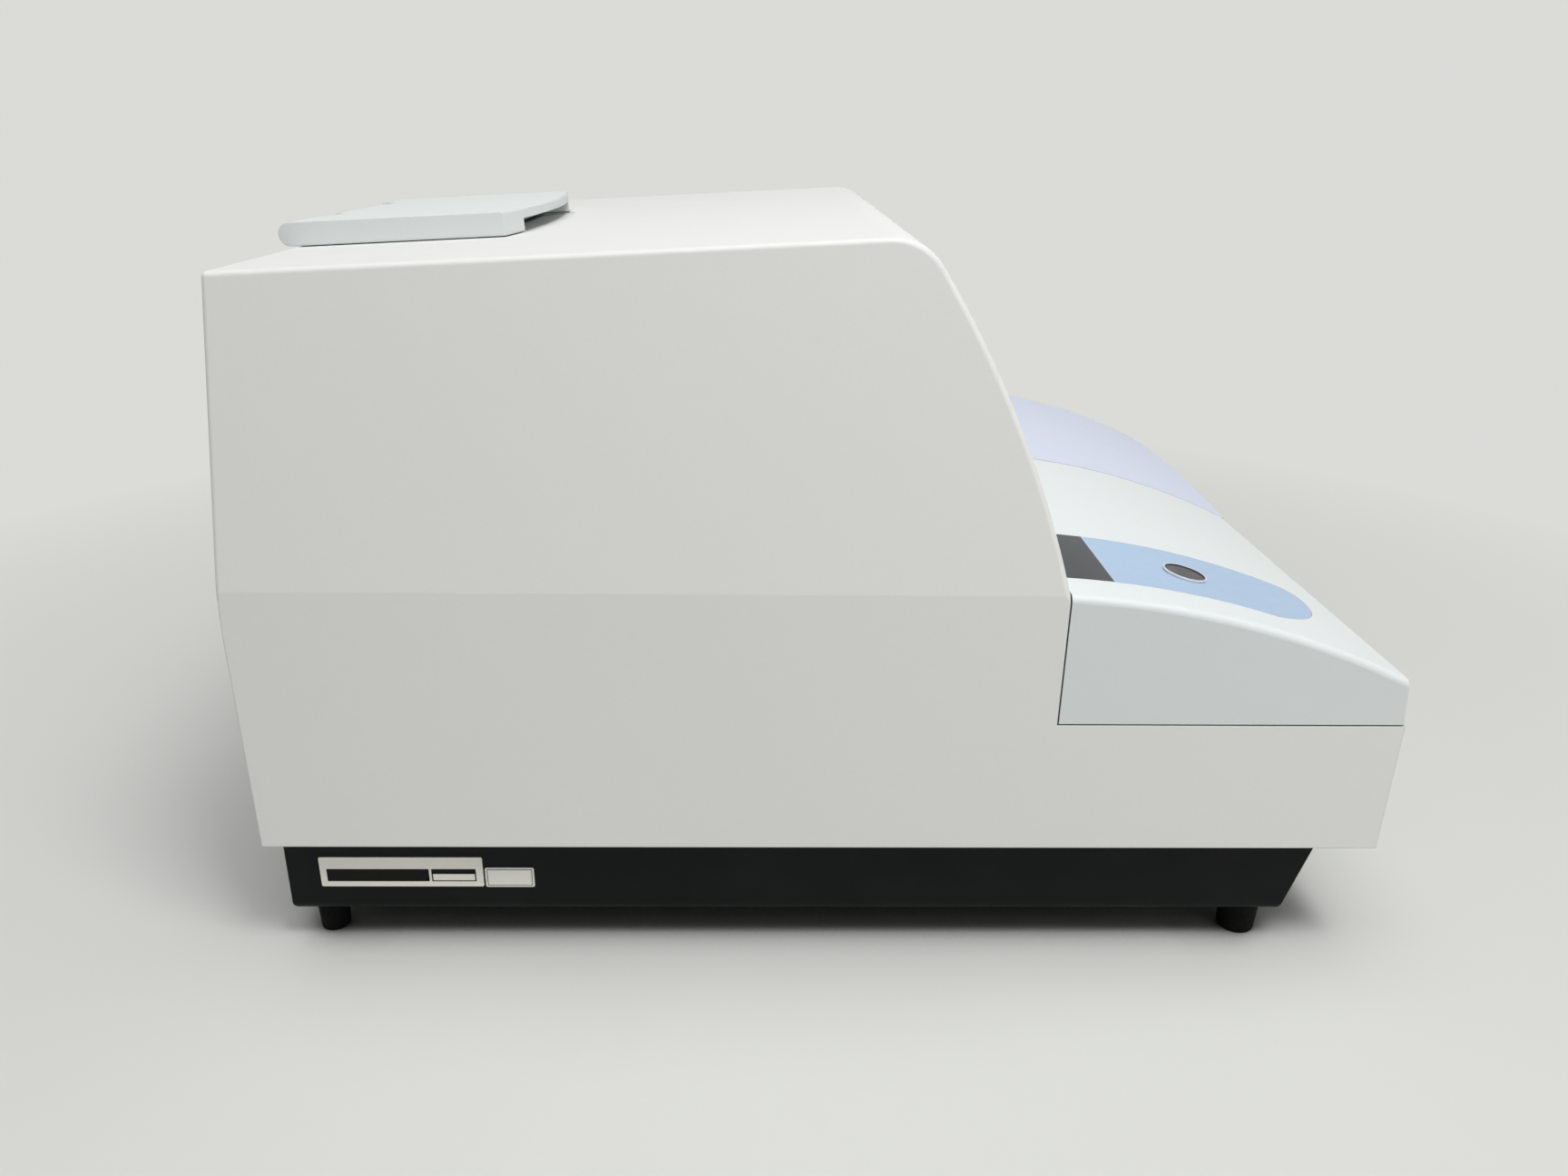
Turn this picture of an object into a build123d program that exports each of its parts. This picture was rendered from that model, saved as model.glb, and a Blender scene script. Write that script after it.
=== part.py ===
from build123d import *
import os
from math import cos, degrees, atan2, pi, radians, sin, sqrt, tan

# A bench-top microplate reader. Millimetres, +Z up, front towards -Y, display side towards -X.
# The origin lies on the bench under the middle of the whole outline.

# Case, driving dimensions
overall_width = 550.0         # across the two side creases
overall_depth = 666.0         # rear face to the lip of the plate door
body_run = 660.5              # rear face to the front face under the hood
seam_run = 461.0              # rear face to the joint between cover and hood
foot_height = 21.5
tray_reveal = 53.5            # black tray that shows under the cover
crease_height = 237.0         # bench to the side crease
ledge_drop = 79.4             # crease down to the ledge that carries the hood
top_rear_rise = 165.2         # crease up to the rear edge of the top
top_front_rise = 185.7        # crease up to the front corner of the top
top_front_run = 374.0         # rear face to the front corner of the top
rear_lean_inset = 13.8        # how far the upper rear face leans in
lower_lean = 1.0              # degrees, sides below the crease
upper_lean = 4.8              # degrees, sides above the crease
front_arc_radius = 607.0      # bowed front face of the cover
top_front_radius = 30.0
cover_wall = 4.0
cover_edge_radius = 3.0

# Hood, door and display panel
hood_wall = 3.0
hood_arc_radius = 517.0       # curved top of the hood, seen from the side
hood_front_drop = 50.8        # crease down to the hood's front top edge
hood_front_run = 658.0        # rear face to the hood's front top edge
hood_gap = 0.8                # shadow line round the hood
hood_edge_radius = 4.0
tongue_thickness = 2.2
tongue_depth = 8.0
seat_clearance = 0.3
door_skin = 3.0
door_skirt = 11.0
door_gap = 1.2
door_crown = 3.5
door_side_rise = 2.0
door_lip_bow = 5.5
door_edge_radius = 2.0
door_rear_gap = 3.6
door_hinge_setback = 2.4      # rear edge of the door to its hinge axis
door_hinge_drop = 2.0
door_rear_radius = 2.4
door_pin_radius = 1.5
door_lug_radius = 3.6
door_lug_width = 12.0
door_ear_radius = 3.4
door_ear_thickness = 3.0
door_ear_clearance = 0.6
door_lug_inset = 22.0
running_clearance = 0.05
side_play = 0.4
overlay_thickness = 0.8
overlay_left_inset = 29.5     # near side crease to the overlay
overlay_width = 79.0
overlay_run = 634.0           # rear face to the overlay's far front corner
overlay_near_run = 590.0      # rear face to the start of its rounded near corner
window_run = 493.0            # rear face to the edge between window and overlay
overlay_clearance = 0.15
window_margin = 5.0
badge_radius = 13.0
badge_run = 546.0
badge_left_inset = 66.5
badge_height = 1.2
badge_rim = 1.2
badge_dish = 0.4
badge_lift = 0.25             # the badge over the curved film

# Top lid over the hatch
lid_width = 244.0
lid_centre_x = -13.0
lid_length = 138.5            # hinge axis to the middle of the bowed front edge
lid_bow = 11.5
lid_thickness = 13.4
lid_gap = 0.6
lid_skin = 3.0
lid_axis_run = 12.7           # rear face to the lid's hinge axis
lid_ear_width = 52.0
lid_recess_back = 3.0         # recess between the ears, measured from the axis
lid_pin_radius = 2.0
lid_pin_reach = 40.0
knuckle_width = 24.0
knuckle_clearance = 0.8
notch_width = 176.0
notch_height = 7.6
notch_depth = 15.0
scoop_overhang = 3.5
scoop_depth = 2.4
scoop_length = 26.0
hatch_width = 190.0
hatch_length = 76.0
hatch_start = 26.0            # hinge axis to the hatch opening
hatch_radius = 8.0
gasket_width = 5.0
gasket_height = 2.6
rib_thickness = 2.4

# Base tray, feet and rear panel
tray_inset = 14.0             # side crease to the tray's side
tray_wall = 2.5
tray_rear_run = 7.2
tray_front_run = 614.5        # rear face to the tray's front, at its bottom
tray_front_lean = 17.4        # degrees
tray_rim_above = 20.0         # tray rim above the cover's lower edge
tray_edge_radius = 6.0
foot_inset = 31.0             # side crease to a foot's centre
front_foot_run = 597.0
rear_foot_run = 25.0
front_foot_radius = 12.6
rear_foot_radius = 10.0
foot_taper = 1.4
foot_screw_radius = 2.5
foot_screw_head_radius = 5.0
foot_screw_head = 3.0
foot_screw_depth = 14.0
panel_thickness = 2.7
panel_overlap = 23.0          # rear panel past the cover's cut-out, each side
panel_top_margin = 10.0       # rear panel above the cover's cut-out
cutout_side = 60.0            # side crease to the cover's rear cut-out
cutout_height = 150.0
cutout_radius = 6.0
rail_height = 14.0
rail_length = 530.0

# Fan, mains inlet, switch and ports on the rear panel
fan_size = 92.0
fan_depth = 25.0
fan_bore_radius = 43.0
fan_hub_radius = 17.0
fan_blade_count = 7
fan_blade_thickness = 1.8
fan_blade_pitch = 32.0        # degrees
fan_tip_clearance = 2.0
fan_shaft_radius = 3.0
fan_pitch = 105.0             # last data port to the fan's centre
fan_rise = 67.0               # cover's lower edge to the fan's centre
slot_width = 5.0              # slots of the panel in front of the fan
slot_pitch = 9.5
slot_count = 9
inlet_margin = 11.0           # side of the cut-out to the inlet's flange
service_rise = 50.0           # cover's lower edge to the row of sockets
inlet_width = 48.0
inlet_height = 34.0
inlet_depth = 34.0
inlet_flange = 2.0
inlet_border = 4.0
socket_width = 24.0
socket_height = 15.0
socket_depth = 18.0
contact_depth = 12.0
drawer_width = 30.0
drawer_height = 6.0
drawer_depth = 20.0
drawer_clearance = 0.3
switch_pitch = 55.0           # inlet to switch
switch_width = 22.0
switch_height = 30.0
switch_depth = 18.0
switch_border = 3.5
rocker_rake = 7.0             # degrees, each face of the rocker
rocker_setback = 4.0          # rear panel's face to the rocker's pivot
rocker_pin_radius = 1.5
rocker_half_depth = 5.0
port_start = 110.0            # inlet to the first data port
port_pitch = 40.0
port_count = 2
port_width = 31.0
port_height = 13.0
port_depth = 10.0
port_shell = 17.0
panel_screw_radius = 3.0
panel_screw_head = 1.8
panel_screw_inset = 9.0
vent_count = 12               # upright vents over the sockets
vent_pitch = 9.0
vent_width = 4.0
vent_length = 44.0
vent_rise = 112.0             # cover's lower edge to the vents' middle
vent_offset = 60.0            # inlet to the middle of the row of vents

# Plate transport
load_run = 554.0              # rear face to the carrier's middle when it is out
stage_travel = 270.0
cross_travel = 31.5           # each way, for eight rows 9 apart
bench_rise = 44.5             # tray floor to the bench's underside
bench_thickness = 8.0
bench_gap = 1.5               # bench to the tray's side wall
bench_tail = 57.5             # motor's rear end to the bench's rear edge
bench_slot_width = 36.0
bench_slot_length = 300.0
bench_slot_offset = 28.0      # lead screw to the middle of a slot
pillar_inset = 14.0           # bench's edge to a pillar's centre
pillar_front_inset = 52.0     # clear of the tray's raked front
pillar_radius = 9.0
rod_radius = 6.0
rod_spread = 110.0
rod_rise = 18.0               # bench top to the rods' centre
rod_block_thickness = 10.0
rod_block_width = 150.0
rod_block_height = 30.0
block_clearance = 5.0         # carriage to an end block, at its limits
screw_radius = 5.0
screw_clearance = 0.3
collar_length = 3.5
collar_step = 3.0             # collar of the lead screw over its shaft
shaft_reach = 10.0            # how far a screw goes into its motor
motor_side = 42.0
motor_length = 40.0
carriage_gap = 18.5           # carriage to the bay's wall, each side
carriage_length = 100.0
carriage_plate = 6.0
carriage_rise = 26.0          # bench top to the carriage plate
bushing_width = 24.0
bushing_drop = 18.0
cheek_thickness = 8.0
cheek_height = 18.0
cross_rod_radius = 4.0
cross_rod_spread = 76.0
cross_rod_rise = 10.0         # carriage plate to the cross rods' centre
cross_screw_radius = 3.0
cross_motor_side = 17.0
cross_motor_length = 22.0
carrier_wall = 9.41           # beside the plate
carrier_end = 9.77            # before and behind the plate
carrier_gap = 19.5            # carrier at its cross limits to the bay's wall
carrier_height = 16.0
carrier_lift = 2.0            # cheek to the carrier's underside
slider_length = 30.0
slider_width = 16.0
nut_width = 16.0
stage_nut_width = 22.0
plate_width = 85.48           # standard microplate footprint
plate_length = 127.76
plate_clearance = 0.35
pocket_floor = 4.0
window_inset = 7.0
grip_width = 34.0
clamp_length = 30.0
clamp_thickness = 5.0
clamp_nose_radius = 4.4
clamp_height = 8.0
clamp_pin_radius = 1.5
clamp_y = -56.0               # clamp pivot from the carrier's middle

# Loading bay and light bulkhead
bulkhead_run = 455.0
bulkhead_thickness = 3.0
passage_clearance = 4.0       # bench's edge to the side of the passage
bulkhead_sill = 153.0         # height of the passage's top edge
bay_wall = 2.5
bay_inset = 1.0               # bay's wall in from the bench's edge
door_margin = 19.0            # bay's wall to the inner edge of the door
bay_front_gap = 2.5           # carrier's front to the bay's front wall
bay_rim = 2.5                 # thickness of the rim round the bay
bay_rim_drop = 1.5            # ledge down to the rim's top

# Optics above the stage
deck_height = 176.0
deck_thickness = 8.0
deck_left_reach = 300.0       # stage's middle to the deck's left edge
deck_side_gap = 15.0          # side crease to the deck
deck_front_run = 438.0
deck_rear_run = 33.0
column_radius = 8.0
column_inset = 14.0           # deck's edge to a column's centre
middle_column_reach = 140.0   # stage's middle to the middle columns
deck_cut_width = 60.0
deck_cut_length = 130.0
deck_cut_radius = 10.0
front_cut_reach = 245.0       # stage's middle to the front cut of the deck
front_cut_rise = 30.0         # measuring place to the front cut's middle
rear_cut_reach = 40.0
rear_cut_rise = 210.0
detector_run = 343.0
lens_radius = 16.0
lens_tip_height = 150.0
lens_bore_radius = 9.0
wheel_radius = 45.0
wheel_pitch_radius = 32.0
wheel_thickness = 8.0
wheel_hole_count = 8
filter_radius = 9.0
filter_thickness = 3.0
filter_rim = 1.2
wheel_shaft_radius = 2.5
wheel_lift = 6.0
wheel_motor_radius = 14.0
wheel_motor_length = 24.0
bridge_leg = 5.0
bridge_depth = 60.0
bridge_gap = 5.0
detector_radius = 27.0
detector_height = 96.0
lamp_reach = 215.0            # stage's middle to the lamp's
lamp_width = 70.0
lamp_length = 80.0
lamp_height = 104.0
lamp_rear_run = 40.0
lamp_beam_rise = 56.0
lamp_beam_radius = 12.0
lamp_fin_count = 8
lamp_fin_depth = 5.0
lamp_gap = 6.0
bracket_foot = 22.0
guide_radius = 6.0
guide_bend = 30.0
mirror_side = 38.0
mirror_reach = 110.0          # stage's middle to the mirror's

# Electronics
supply_width = 92.0
supply_length = 210.0
supply_height = 78.0
supply_wall = 1.5
supply_inset = 70.0           # side crease to the supply's middle
supply_rear_run = 60.0
board_width = 180.0
board_length = 132.0
board_thickness = 1.6
board_inset = 130.0           # side crease to the board's middle
board_front_run = 596.0
standoff_height = 10.0
standoff_radius = 4.0
display_length = 26.0
display_depth = 12.0

# Worked out from the dimensions above
half_width = overall_width / 2
rear_y = overall_depth / 2
cover_bottom = foot_height + tray_reveal
ledge_height = crease_height - ledge_drop
top_slope = degrees(atan2(top_front_rise - top_rear_rise, top_front_run - rear_lean_inset))
tray_floor = foot_height + tray_wall
door_right_x = half_width
cutout_width = overall_width - 2 * cutout_side
panel_width = cutout_width + 2 * panel_overlap
inlet_x = -cutout_width / 2 + inlet_margin + inlet_width / 2
switch_x = inlet_x + switch_pitch
port_xs = [inlet_x + port_start + port_pitch * k for k in range(port_count)]
fan_x = port_xs[-1] + fan_pitch
fan_z = cover_bottom + fan_rise
carrier_width = plate_width + 2 * (plate_clearance + carrier_wall)
carrier_length = plate_length + 2 * (plate_clearance + carrier_end)
bay_inner = carrier_width + 2 * (cross_travel + carrier_gap)
bay_width = bay_inner + 2 * bay_wall
bench_width = bay_width + 2 * bay_inset
stage_x = half_width - tray_inset - tray_wall - bench_gap - bench_width / 2
door_left_x = stage_x - bay_width / 2 - door_margin
carriage_width = bay_inner - 2 * carriage_gap
bench_bottom = tray_floor + bench_rise
bench_top = bench_bottom + bench_thickness
rod_z = bench_top + rod_rise
carriage_z = bench_top + carriage_rise
cross_z = carriage_z + carriage_plate + cross_rod_rise
carrier_z = carriage_z + carriage_plate + cheek_height + carrier_lift
deck_top = deck_height + deck_thickness
deck_left_x = stage_x - deck_left_reach
deck_right_x = half_width - deck_side_gap
lamp_x = stage_x - lamp_reach
mirror_x = stage_x - mirror_reach
supply_x = -half_width + supply_inset
board_x = -half_width + board_inset
beyond = 60.0                 # how far cutting shapes reach past what they cut


def at_run(run):
    """The y of a place that lies this far in front of the rear face."""
    return rear_y - run


load_y = at_run(load_run)
detector_y = at_run(detector_run)
panel_y = at_run(tray_rear_run)
panel_face = panel_y + panel_thickness
service_z = cover_bottom + service_rise
rocker_axis_y = panel_face - rocker_setback


def block(x0, x1, y0, y1, z0, z1):
    """A box between two corners."""
    return Pos((x0 + x1) / 2, (y0 + y1) / 2, (z0 + z1) / 2) * Box(x1 - x0, y1 - y0, z1 - z0)


def rod_x(radius, x0, x1, y, z):
    return Pos((x0 + x1) / 2, y, z) * Rot(0, 90, 0) * Cylinder(radius, x1 - x0)


def rod_y(radius, x, y0, y1, z):
    return Pos(x, (y0 + y1) / 2, z) * Rot(90, 0, 0) * Cylinder(radius, y1 - y0)


def rod_upright(radius, x, y, z0, z1):
    return Pos(x, y, (z0 + z1) / 2) * Cylinder(radius, z1 - z0)


def bulged_arc(start, end, radius):
    """An arc between two points of a sketch that bulges to the left of the way from start to end."""
    dx, dy = end[0] - start[0], end[1] - start[1]
    chord = sqrt(dx * dx + dy * dy)
    sagitta = radius - sqrt(radius * radius - chord * chord / 4)
    middle = ((start[0] + end[0]) / 2 - dy / chord * sagitta, (start[1] + end[1]) / 2 + dx / chord * sagitta)
    return ThreePointArc(start, middle, end)


def arc_centre(start, end, radius):
    """The centre of that arc."""
    dx, dy = end[0] - start[0], end[1] - start[1]
    chord = sqrt(dx * dx + dy * dy)
    drop = sqrt(radius * radius - chord * chord / 4)
    return ((start[0] + end[0]) / 2 + dy / chord * drop, (start[1] + end[1]) / 2 - dx / chord * drop)


def raised(face, height):
    """A plan outline made into a solid of this height."""
    return extrude(face, amount=height, dir=(0, 0, 1))


def across(side_face):
    """A side outline, drawn as (y, z), run right across the case."""
    return extrude(Plane.YZ * side_face, amount=half_width + beyond, both=True)


def case_section(inset):
    """The case's section across the width, run from front to rear, moved in by inset."""
    low, high = -beyond, crease_height + top_front_rise + beyond
    crease_x = half_width - inset
    low_x = crease_x - (crease_height - low) * tan(radians(lower_lean))
    high_x = crease_x - (high - crease_height) * tan(radians(upper_lean))
    corners = [(low_x, low), (crease_x, crease_height), (high_x, high)]
    mirrored = [(-x, z) for x, z in reversed(corners)]
    outline = make_face(Polyline(*corners, *mirrored, close=True))
    return extrude(Plane.XZ * outline, amount=overall_depth, both=True)


# The seam point and the front edge fix the drum that the hood's top is part of
hood_seam = (at_run(seam_run), crease_height)
hood_front_edge = (at_run(hood_front_run), crease_height - hood_front_drop)
drum_y, drum_z = arc_centre(hood_front_edge, hood_seam, hood_arc_radius)


def drum(radius):
    """Everything under the hood's curved top, or under a surface parallel to it."""
    return Pos(0, drum_y, drum_z) * Rot(0, 90, 0) * Cylinder(radius, overall_width + 2 * beyond)


def surface_z(y, drop=0.0):
    """Height of the hood's top surface, or of a surface that lies drop below it."""
    radius = hood_arc_radius - drop
    return drum_z + sqrt(radius * radius - (y - drum_y) ** 2)


def housing_outline():
    """The upper housing of the cover from the side, down to its lower edge."""
    low_rear = (rear_y, cover_bottom)
    crease_rear = (rear_y, crease_height)
    top_rear = (at_run(rear_lean_inset), crease_height + top_rear_rise)
    top_front = (at_run(top_front_run), crease_height + top_front_rise)
    low_front = (at_run(seam_run), cover_bottom)
    edges = [
        Polyline(top_front, top_rear, crease_rear, low_rear, low_front, hood_seam),
        bulged_arc(hood_seam, top_front, front_arc_radius),
    ]
    outline = make_face(edges)
    corner = outline.vertices().sort_by_distance(Vector(*top_front))[0]
    return fillet(corner, radius=top_front_radius)


def main_cover():
    """The white moulded cover: one shell, open below, with the notch that the hood drops into."""
    outline = housing_outline()
    section = case_section(0)
    housing = across(outline) & section
    crisp = [e for e in housing.edges() if e.center().Z > crease_height + 5]
    along_width = [e for e in crisp if abs(e.tangent_at(0.5).X) > 0.9]
    rounded = [e for e in crisp if e not in along_width]
    rounded.append(max(along_width, key=lambda e: e.center().Y))
    housing = fillet(rounded, radius=cover_edge_radius)
    skirt = block(-half_width - beyond, half_width + beyond,
                  at_run(body_run), at_run(seam_run), cover_bottom, ledge_height) & section
    inner_outline = offset(outline, amount=-cover_wall, kind=Kind.INTERSECTION)
    lowered = Pos(0, 0, -beyond) * across(inner_outline)
    front_space = block(-half_width - beyond, half_width + beyond,
                        at_run(body_run) + cover_wall, at_run(seam_run) + cover_wall + beyond,
                        -beyond, crease_height)
    hollow = (across(inner_outline) + lowered + front_space) & case_section(cover_wall)
    cutout = Rectangle(cutout_width, cutout_height + beyond)
    cutout = fillet(cutout.vertices(), radius=cutout_radius)
    cutout = Pos(0, rear_y, cover_bottom + (cutout_height - beyond) / 2) * Rot(90, 0, 0) * cutout
    cover = (housing + skirt) - hollow - extrude(cutout, amount=2 * cover_wall, both=True)
    return cover - top_frame * hatch_opening(0) - top_frame * finger_scoop()


# The lid's own frame: origin on its hinge axis, -Y towards the front along the sloping top
lid_axis_height = lid_gap + lid_thickness / 2
top_at_axis = crease_height + top_rear_rise + (lid_axis_run - rear_lean_inset) * tan(radians(top_slope))
top_frame = Location(
    (0, at_run(lid_axis_run) + lid_axis_height * sin(radians(top_slope)),
     top_at_axis + lid_axis_height * cos(radians(top_slope))),
    (-top_slope, 0, 0),
)
lid_left = lid_centre_x - lid_width / 2
lid_right = lid_centre_x + lid_width / 2
barrel_radius = lid_thickness / 2
lid_under = -lid_thickness / 2
skin_z = -lid_axis_height


def hatch_opening(margin):
    """The access hatch through the cover's top, in the lid's frame."""
    y = -hatch_start - hatch_length / 2
    shape = RectangleRounded(hatch_width + 2 * margin, hatch_length + 2 * margin, hatch_radius + margin)
    return Pos(lid_centre_x, y, skin_z) * extrude(shape, amount=beyond / 2, both=True)


def lid_outline(grow):
    """The lid in plan, with its bowed front edge, moved out by grow."""
    side = -(lid_length - lid_bow) - grow
    left, right = (lid_left - grow, side), (lid_right + grow, side)
    middle = (lid_centre_x, -lid_length - grow)
    edges = [
        ThreePointArc(left, middle, right),
        Polyline(right, (right[0], 0), (left[0], 0), left),
    ]
    return make_face(edges)


def finger_scoop():
    """The shallow dish in the top that lets fingers under the lid's front edge."""
    side = -(lid_length - lid_bow)
    front, back = -lid_length - scoop_overhang, side + scoop_length
    wedge_face = make_face(Polyline((front, skin_z), (back, skin_z - scoop_depth), (back, skin_z + 1),
                                    (front, skin_z + 1), close=True))
    wedge = Pos(lid_centre_x, 0, 0) * extrude(Plane.YZ * wedge_face, amount=notch_width / 2, both=True)
    plan = extrude(lid_outline(scoop_overhang), amount=beyond / 2, both=True)
    return wedge & plan


def top_lid():
    """The hatch lid: a moulded tray with two hinge barrels, ribs inside and a finger notch in front."""
    slab = Pos(0, 0, lid_under) * raised(lid_outline(0), lid_thickness)
    barrel = rod_x(barrel_radius, lid_left, lid_right, 0, 0)
    lid = slab + barrel
    inner_left, inner_right = lid_left + lid_ear_width, lid_right - lid_ear_width
    past = barrel_radius + 1
    lid -= block(inner_left, inner_right, -lid_recess_back, past, -past, past)
    reach = barrel_radius + knuckle_clearance
    for x0 in (inner_left, inner_right - knuckle_width - 2 * side_play):
        lid -= block(x0, x0 + knuckle_width + 2 * side_play, -reach, past, -past, past)
    back_wall = -barrel_radius - 6.0
    notch_back = -(lid_length - lid_bow) + notch_depth
    pocket_top = barrel_radius - lid_skin
    pocket = block(lid_left + lid_skin, lid_right - lid_skin, notch_back + lid_skin, back_wall,
                   lid_under - 1, pocket_top)
    for k in (-1, 0, 1):
        rib_x = lid_centre_x + k * lid_width / 4
        pocket -= block(rib_x - rib_thickness / 2, rib_x + rib_thickness / 2, notch_back, back_wall,
                        pocket_top - 4.0, pocket_top + 1)
    lid -= pocket
    lid -= block(lid_centre_x - notch_width / 2, lid_centre_x + notch_width / 2,
                 -lid_length - 1, notch_back, lid_under - 1, lid_under + notch_height)
    for x0, x1 in pin_spans():
        lid -= rod_x(lid_pin_radius + running_clearance, x0, x1, 0, 0)
    top_edges = [e for e in lid.edges() if abs(e.center().Z - barrel_radius) < 0.01
                 and e.center().Y < -lid_length + lid_bow + 12 and e.length > 30]
    return top_frame * fillet(top_edges, radius=1.2)


def knuckle_spans():
    """Where the two fixed hinge blocks stand, beside the lid's ears."""
    inner_left, inner_right = lid_left + lid_ear_width, lid_right - lid_ear_width
    return [(inner_left + side_play, inner_left + side_play + knuckle_width),
            (inner_right - side_play - knuckle_width, inner_right - side_play)]


def pin_spans():
    """Each lid pin runs from its hinge block into the ear beside it."""
    (a0, a1), (b0, b1) = knuckle_spans()
    return [(a0 - side_play - lid_pin_reach, a1), (b0, b1 + side_play + lid_pin_reach)]


def lid_hinge_blocks():
    """Two blocks on the cover's top that hold the lid's pins."""
    blocks = []
    radius = barrel_radius - 0.4
    for x0, x1 in knuckle_spans():
        body = rod_x(radius, x0, x1, 0, 0) + block(x0, x1, -radius, radius - 2, skin_z, 0)
        blocks.append(top_frame * (body - rod_x(lid_pin_radius, x0 - 1, x1 + 1, 0, 0)))
    return blocks


def lid_hinge_pins():
    return [top_frame * rod_x(lid_pin_radius, x0 + side_play, x1, 0, 0) for x0, x1 in pin_spans()]


def hatch_gasket():
    """Rubber ring round the hatch, under the lid."""
    ring = Pos(lid_centre_x, -hatch_start - hatch_length / 2, skin_z) * extrude(
        RectangleRounded(hatch_width + 2 * gasket_width, hatch_length + 2 * gasket_width,
                         hatch_radius + gasket_width), amount=gasket_height)
    return top_frame * (ring - hatch_opening(0))


def overlay_outline(grow):
    """Display window and overlay together in plan: a band whose front end sweeps back to the near side."""
    near_x = -half_width + overlay_left_inset - grow
    far_x = near_x + overlay_width + 2 * grow
    back_y = at_run(seam_run + hood_gap) + grow
    far_corner = (far_x, at_run(overlay_run - 14.0) - grow)
    nose = (far_x - 12.0 - grow, at_run(overlay_run) - grow)
    near_corner = (near_x, at_run(overlay_near_run) - grow)
    sweep_middle = (near_x + 0.34 * (nose[0] - near_x), at_run(overlay_near_run + 29.0) - grow)
    edges = [
        Polyline(near_corner, (near_x, back_y), (far_x, back_y), far_corner),
        TangentArc(far_corner, nose, tangent=(0, -1)),
        ThreePointArc(nose, sweep_middle, near_corner),
    ]
    return make_face(edges)


def overlay_band(grow, depth):
    """That band as a curved layer of the hood's top."""
    prism = Pos(0, 0, crease_height - beyond) * raised(overlay_outline(grow), 2 * beyond)
    return prism & (drum(hood_arc_radius) - drum(hood_arc_radius - depth))


def window_split(side):
    """Half space behind or in front of the line between window and overlay."""
    edge_y = at_run(window_run)
    if side == "window":
        return block(-half_width, half_width, edge_y, edge_y + beyond, 0, crease_height + beyond)
    return block(-half_width, half_width, edge_y - 4 * beyond, edge_y, 0, crease_height + beyond)


def badge_place():
    x = -half_width + badge_left_inset
    y = at_run(badge_run)
    return x, y


def front_hood():
    """The grey moulded hood: a shell with a curved top, cut away on the user's right for the plate door."""
    section = case_section(0)
    back, low = at_run(seam_run + hood_gap), ledge_height + hood_gap
    top_back = (back, surface_z(back))
    outline = make_face([
        bulged_arc(hood_front_edge, top_back, hood_arc_radius),
        Polyline(top_back, (back, low), (at_run(body_run), low), hood_front_edge),
    ])
    hood = across(outline) & section
    top_side = [e for e in hood.edges() if abs(e.center().X) > half_width - 5
                and e.length > 150 and e.center().Z > ledge_height + 10]
    hood = fillet(top_side, radius=hood_edge_radius)
    front_edges = [e for e in hood.edges() if e.center().Y < at_run(hood_front_run - 8)
                   and e.center().Z > ledge_height + hood_gap + 1]
    hood = fillet(front_edges, radius=cover_edge_radius - 1)
    space = drum(hood_arc_radius - hood_wall) & block(
        -half_width, half_width, at_run(hood_front_run) + hood_wall, at_run(seam_run) + beyond,
        0, crease_height + beyond)
    hood -= space & case_section(hood_wall)
    tongue_inset = cover_wall + seat_clearance
    hood += tongue_ring(hood_wall - 0.5, tongue_inset + tongue_thickness,
                        ledge_height + hood_gap, ledge_height + hood_gap + 5.0)
    hood += tongue_ring(tongue_inset, tongue_inset + tongue_thickness,
                        ledge_height - tongue_depth, ledge_height + hood_gap + 1.0)
    door_space = block(door_left_x - door_gap, half_width + beyond, at_run(body_run) - beyond,
                       at_run(seam_run) + beyond, 0, crease_height + beyond)
    hood -= door_space - drum(hood_arc_radius - door_skirt - hood_gap)
    cheek = block(door_left_x - door_gap - hood_wall, door_left_x - door_gap, at_run(hood_front_run) + 1.0,
                  at_run(seam_run + hood_gap), ledge_height + hood_gap, crease_height + beyond)
    hood += cheek & drum(hood_arc_radius - hood_wall + 1.0)
    hood -= overlay_band(overlay_clearance, overlay_thickness)
    near_x = -half_width + overlay_left_inset + window_margin
    hood -= block(near_x, near_x + overlay_width - 2 * window_margin, at_run(window_run) + window_margin,
                  at_run(seam_run + 9.0), crease_height - beyond / 3, crease_height + beyond / 3)
    return hood


def tongue_ring(outer, inner, z0, z1):
    """A band inside the case that follows its sides and front, between two insets."""
    front = at_run(body_run)
    space = block(-half_width, half_width, front + outer, at_run(seam_run + 6.0), z0, z1) & case_section(outer)
    return space - (block(-half_width, half_width, front + inner, at_run(seam_run) + beyond, z0 - 1, z1 + 1)
                    & case_section(inner))


def display_window():
    return overlay_band(0, overlay_thickness) & window_split("window")


def panel_overlay():
    x, y = badge_place()
    layer = overlay_band(0, overlay_thickness) & window_split("overlay")
    return layer - rod_upright(badge_radius - 3.0, x, y, 0, crease_height + beyond)


def round_badge():
    """A plain round badge with a thin rim, pegged through the overlay."""
    x, y = badge_place()
    tilt = degrees(atan2(drum_y - y, surface_z(y) - drum_z))
    place = Location((x, y, surface_z(y)), (tilt, 0, 0))
    disc = Cylinder(badge_radius, badge_height, align=(Align.CENTER, Align.CENTER, Align.MIN))
    dish = Cylinder(badge_radius - badge_rim, 1, align=(Align.CENTER, Align.CENTER, Align.MIN))
    disc -= Pos(0, 0, badge_height - badge_dish) * dish
    peg = Cylinder(badge_radius - 3.5, overlay_thickness, align=(Align.CENTER, Align.CENTER, Align.MAX))
    return place * (Pos(0, 0, badge_lift) * (disc + peg))


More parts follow.
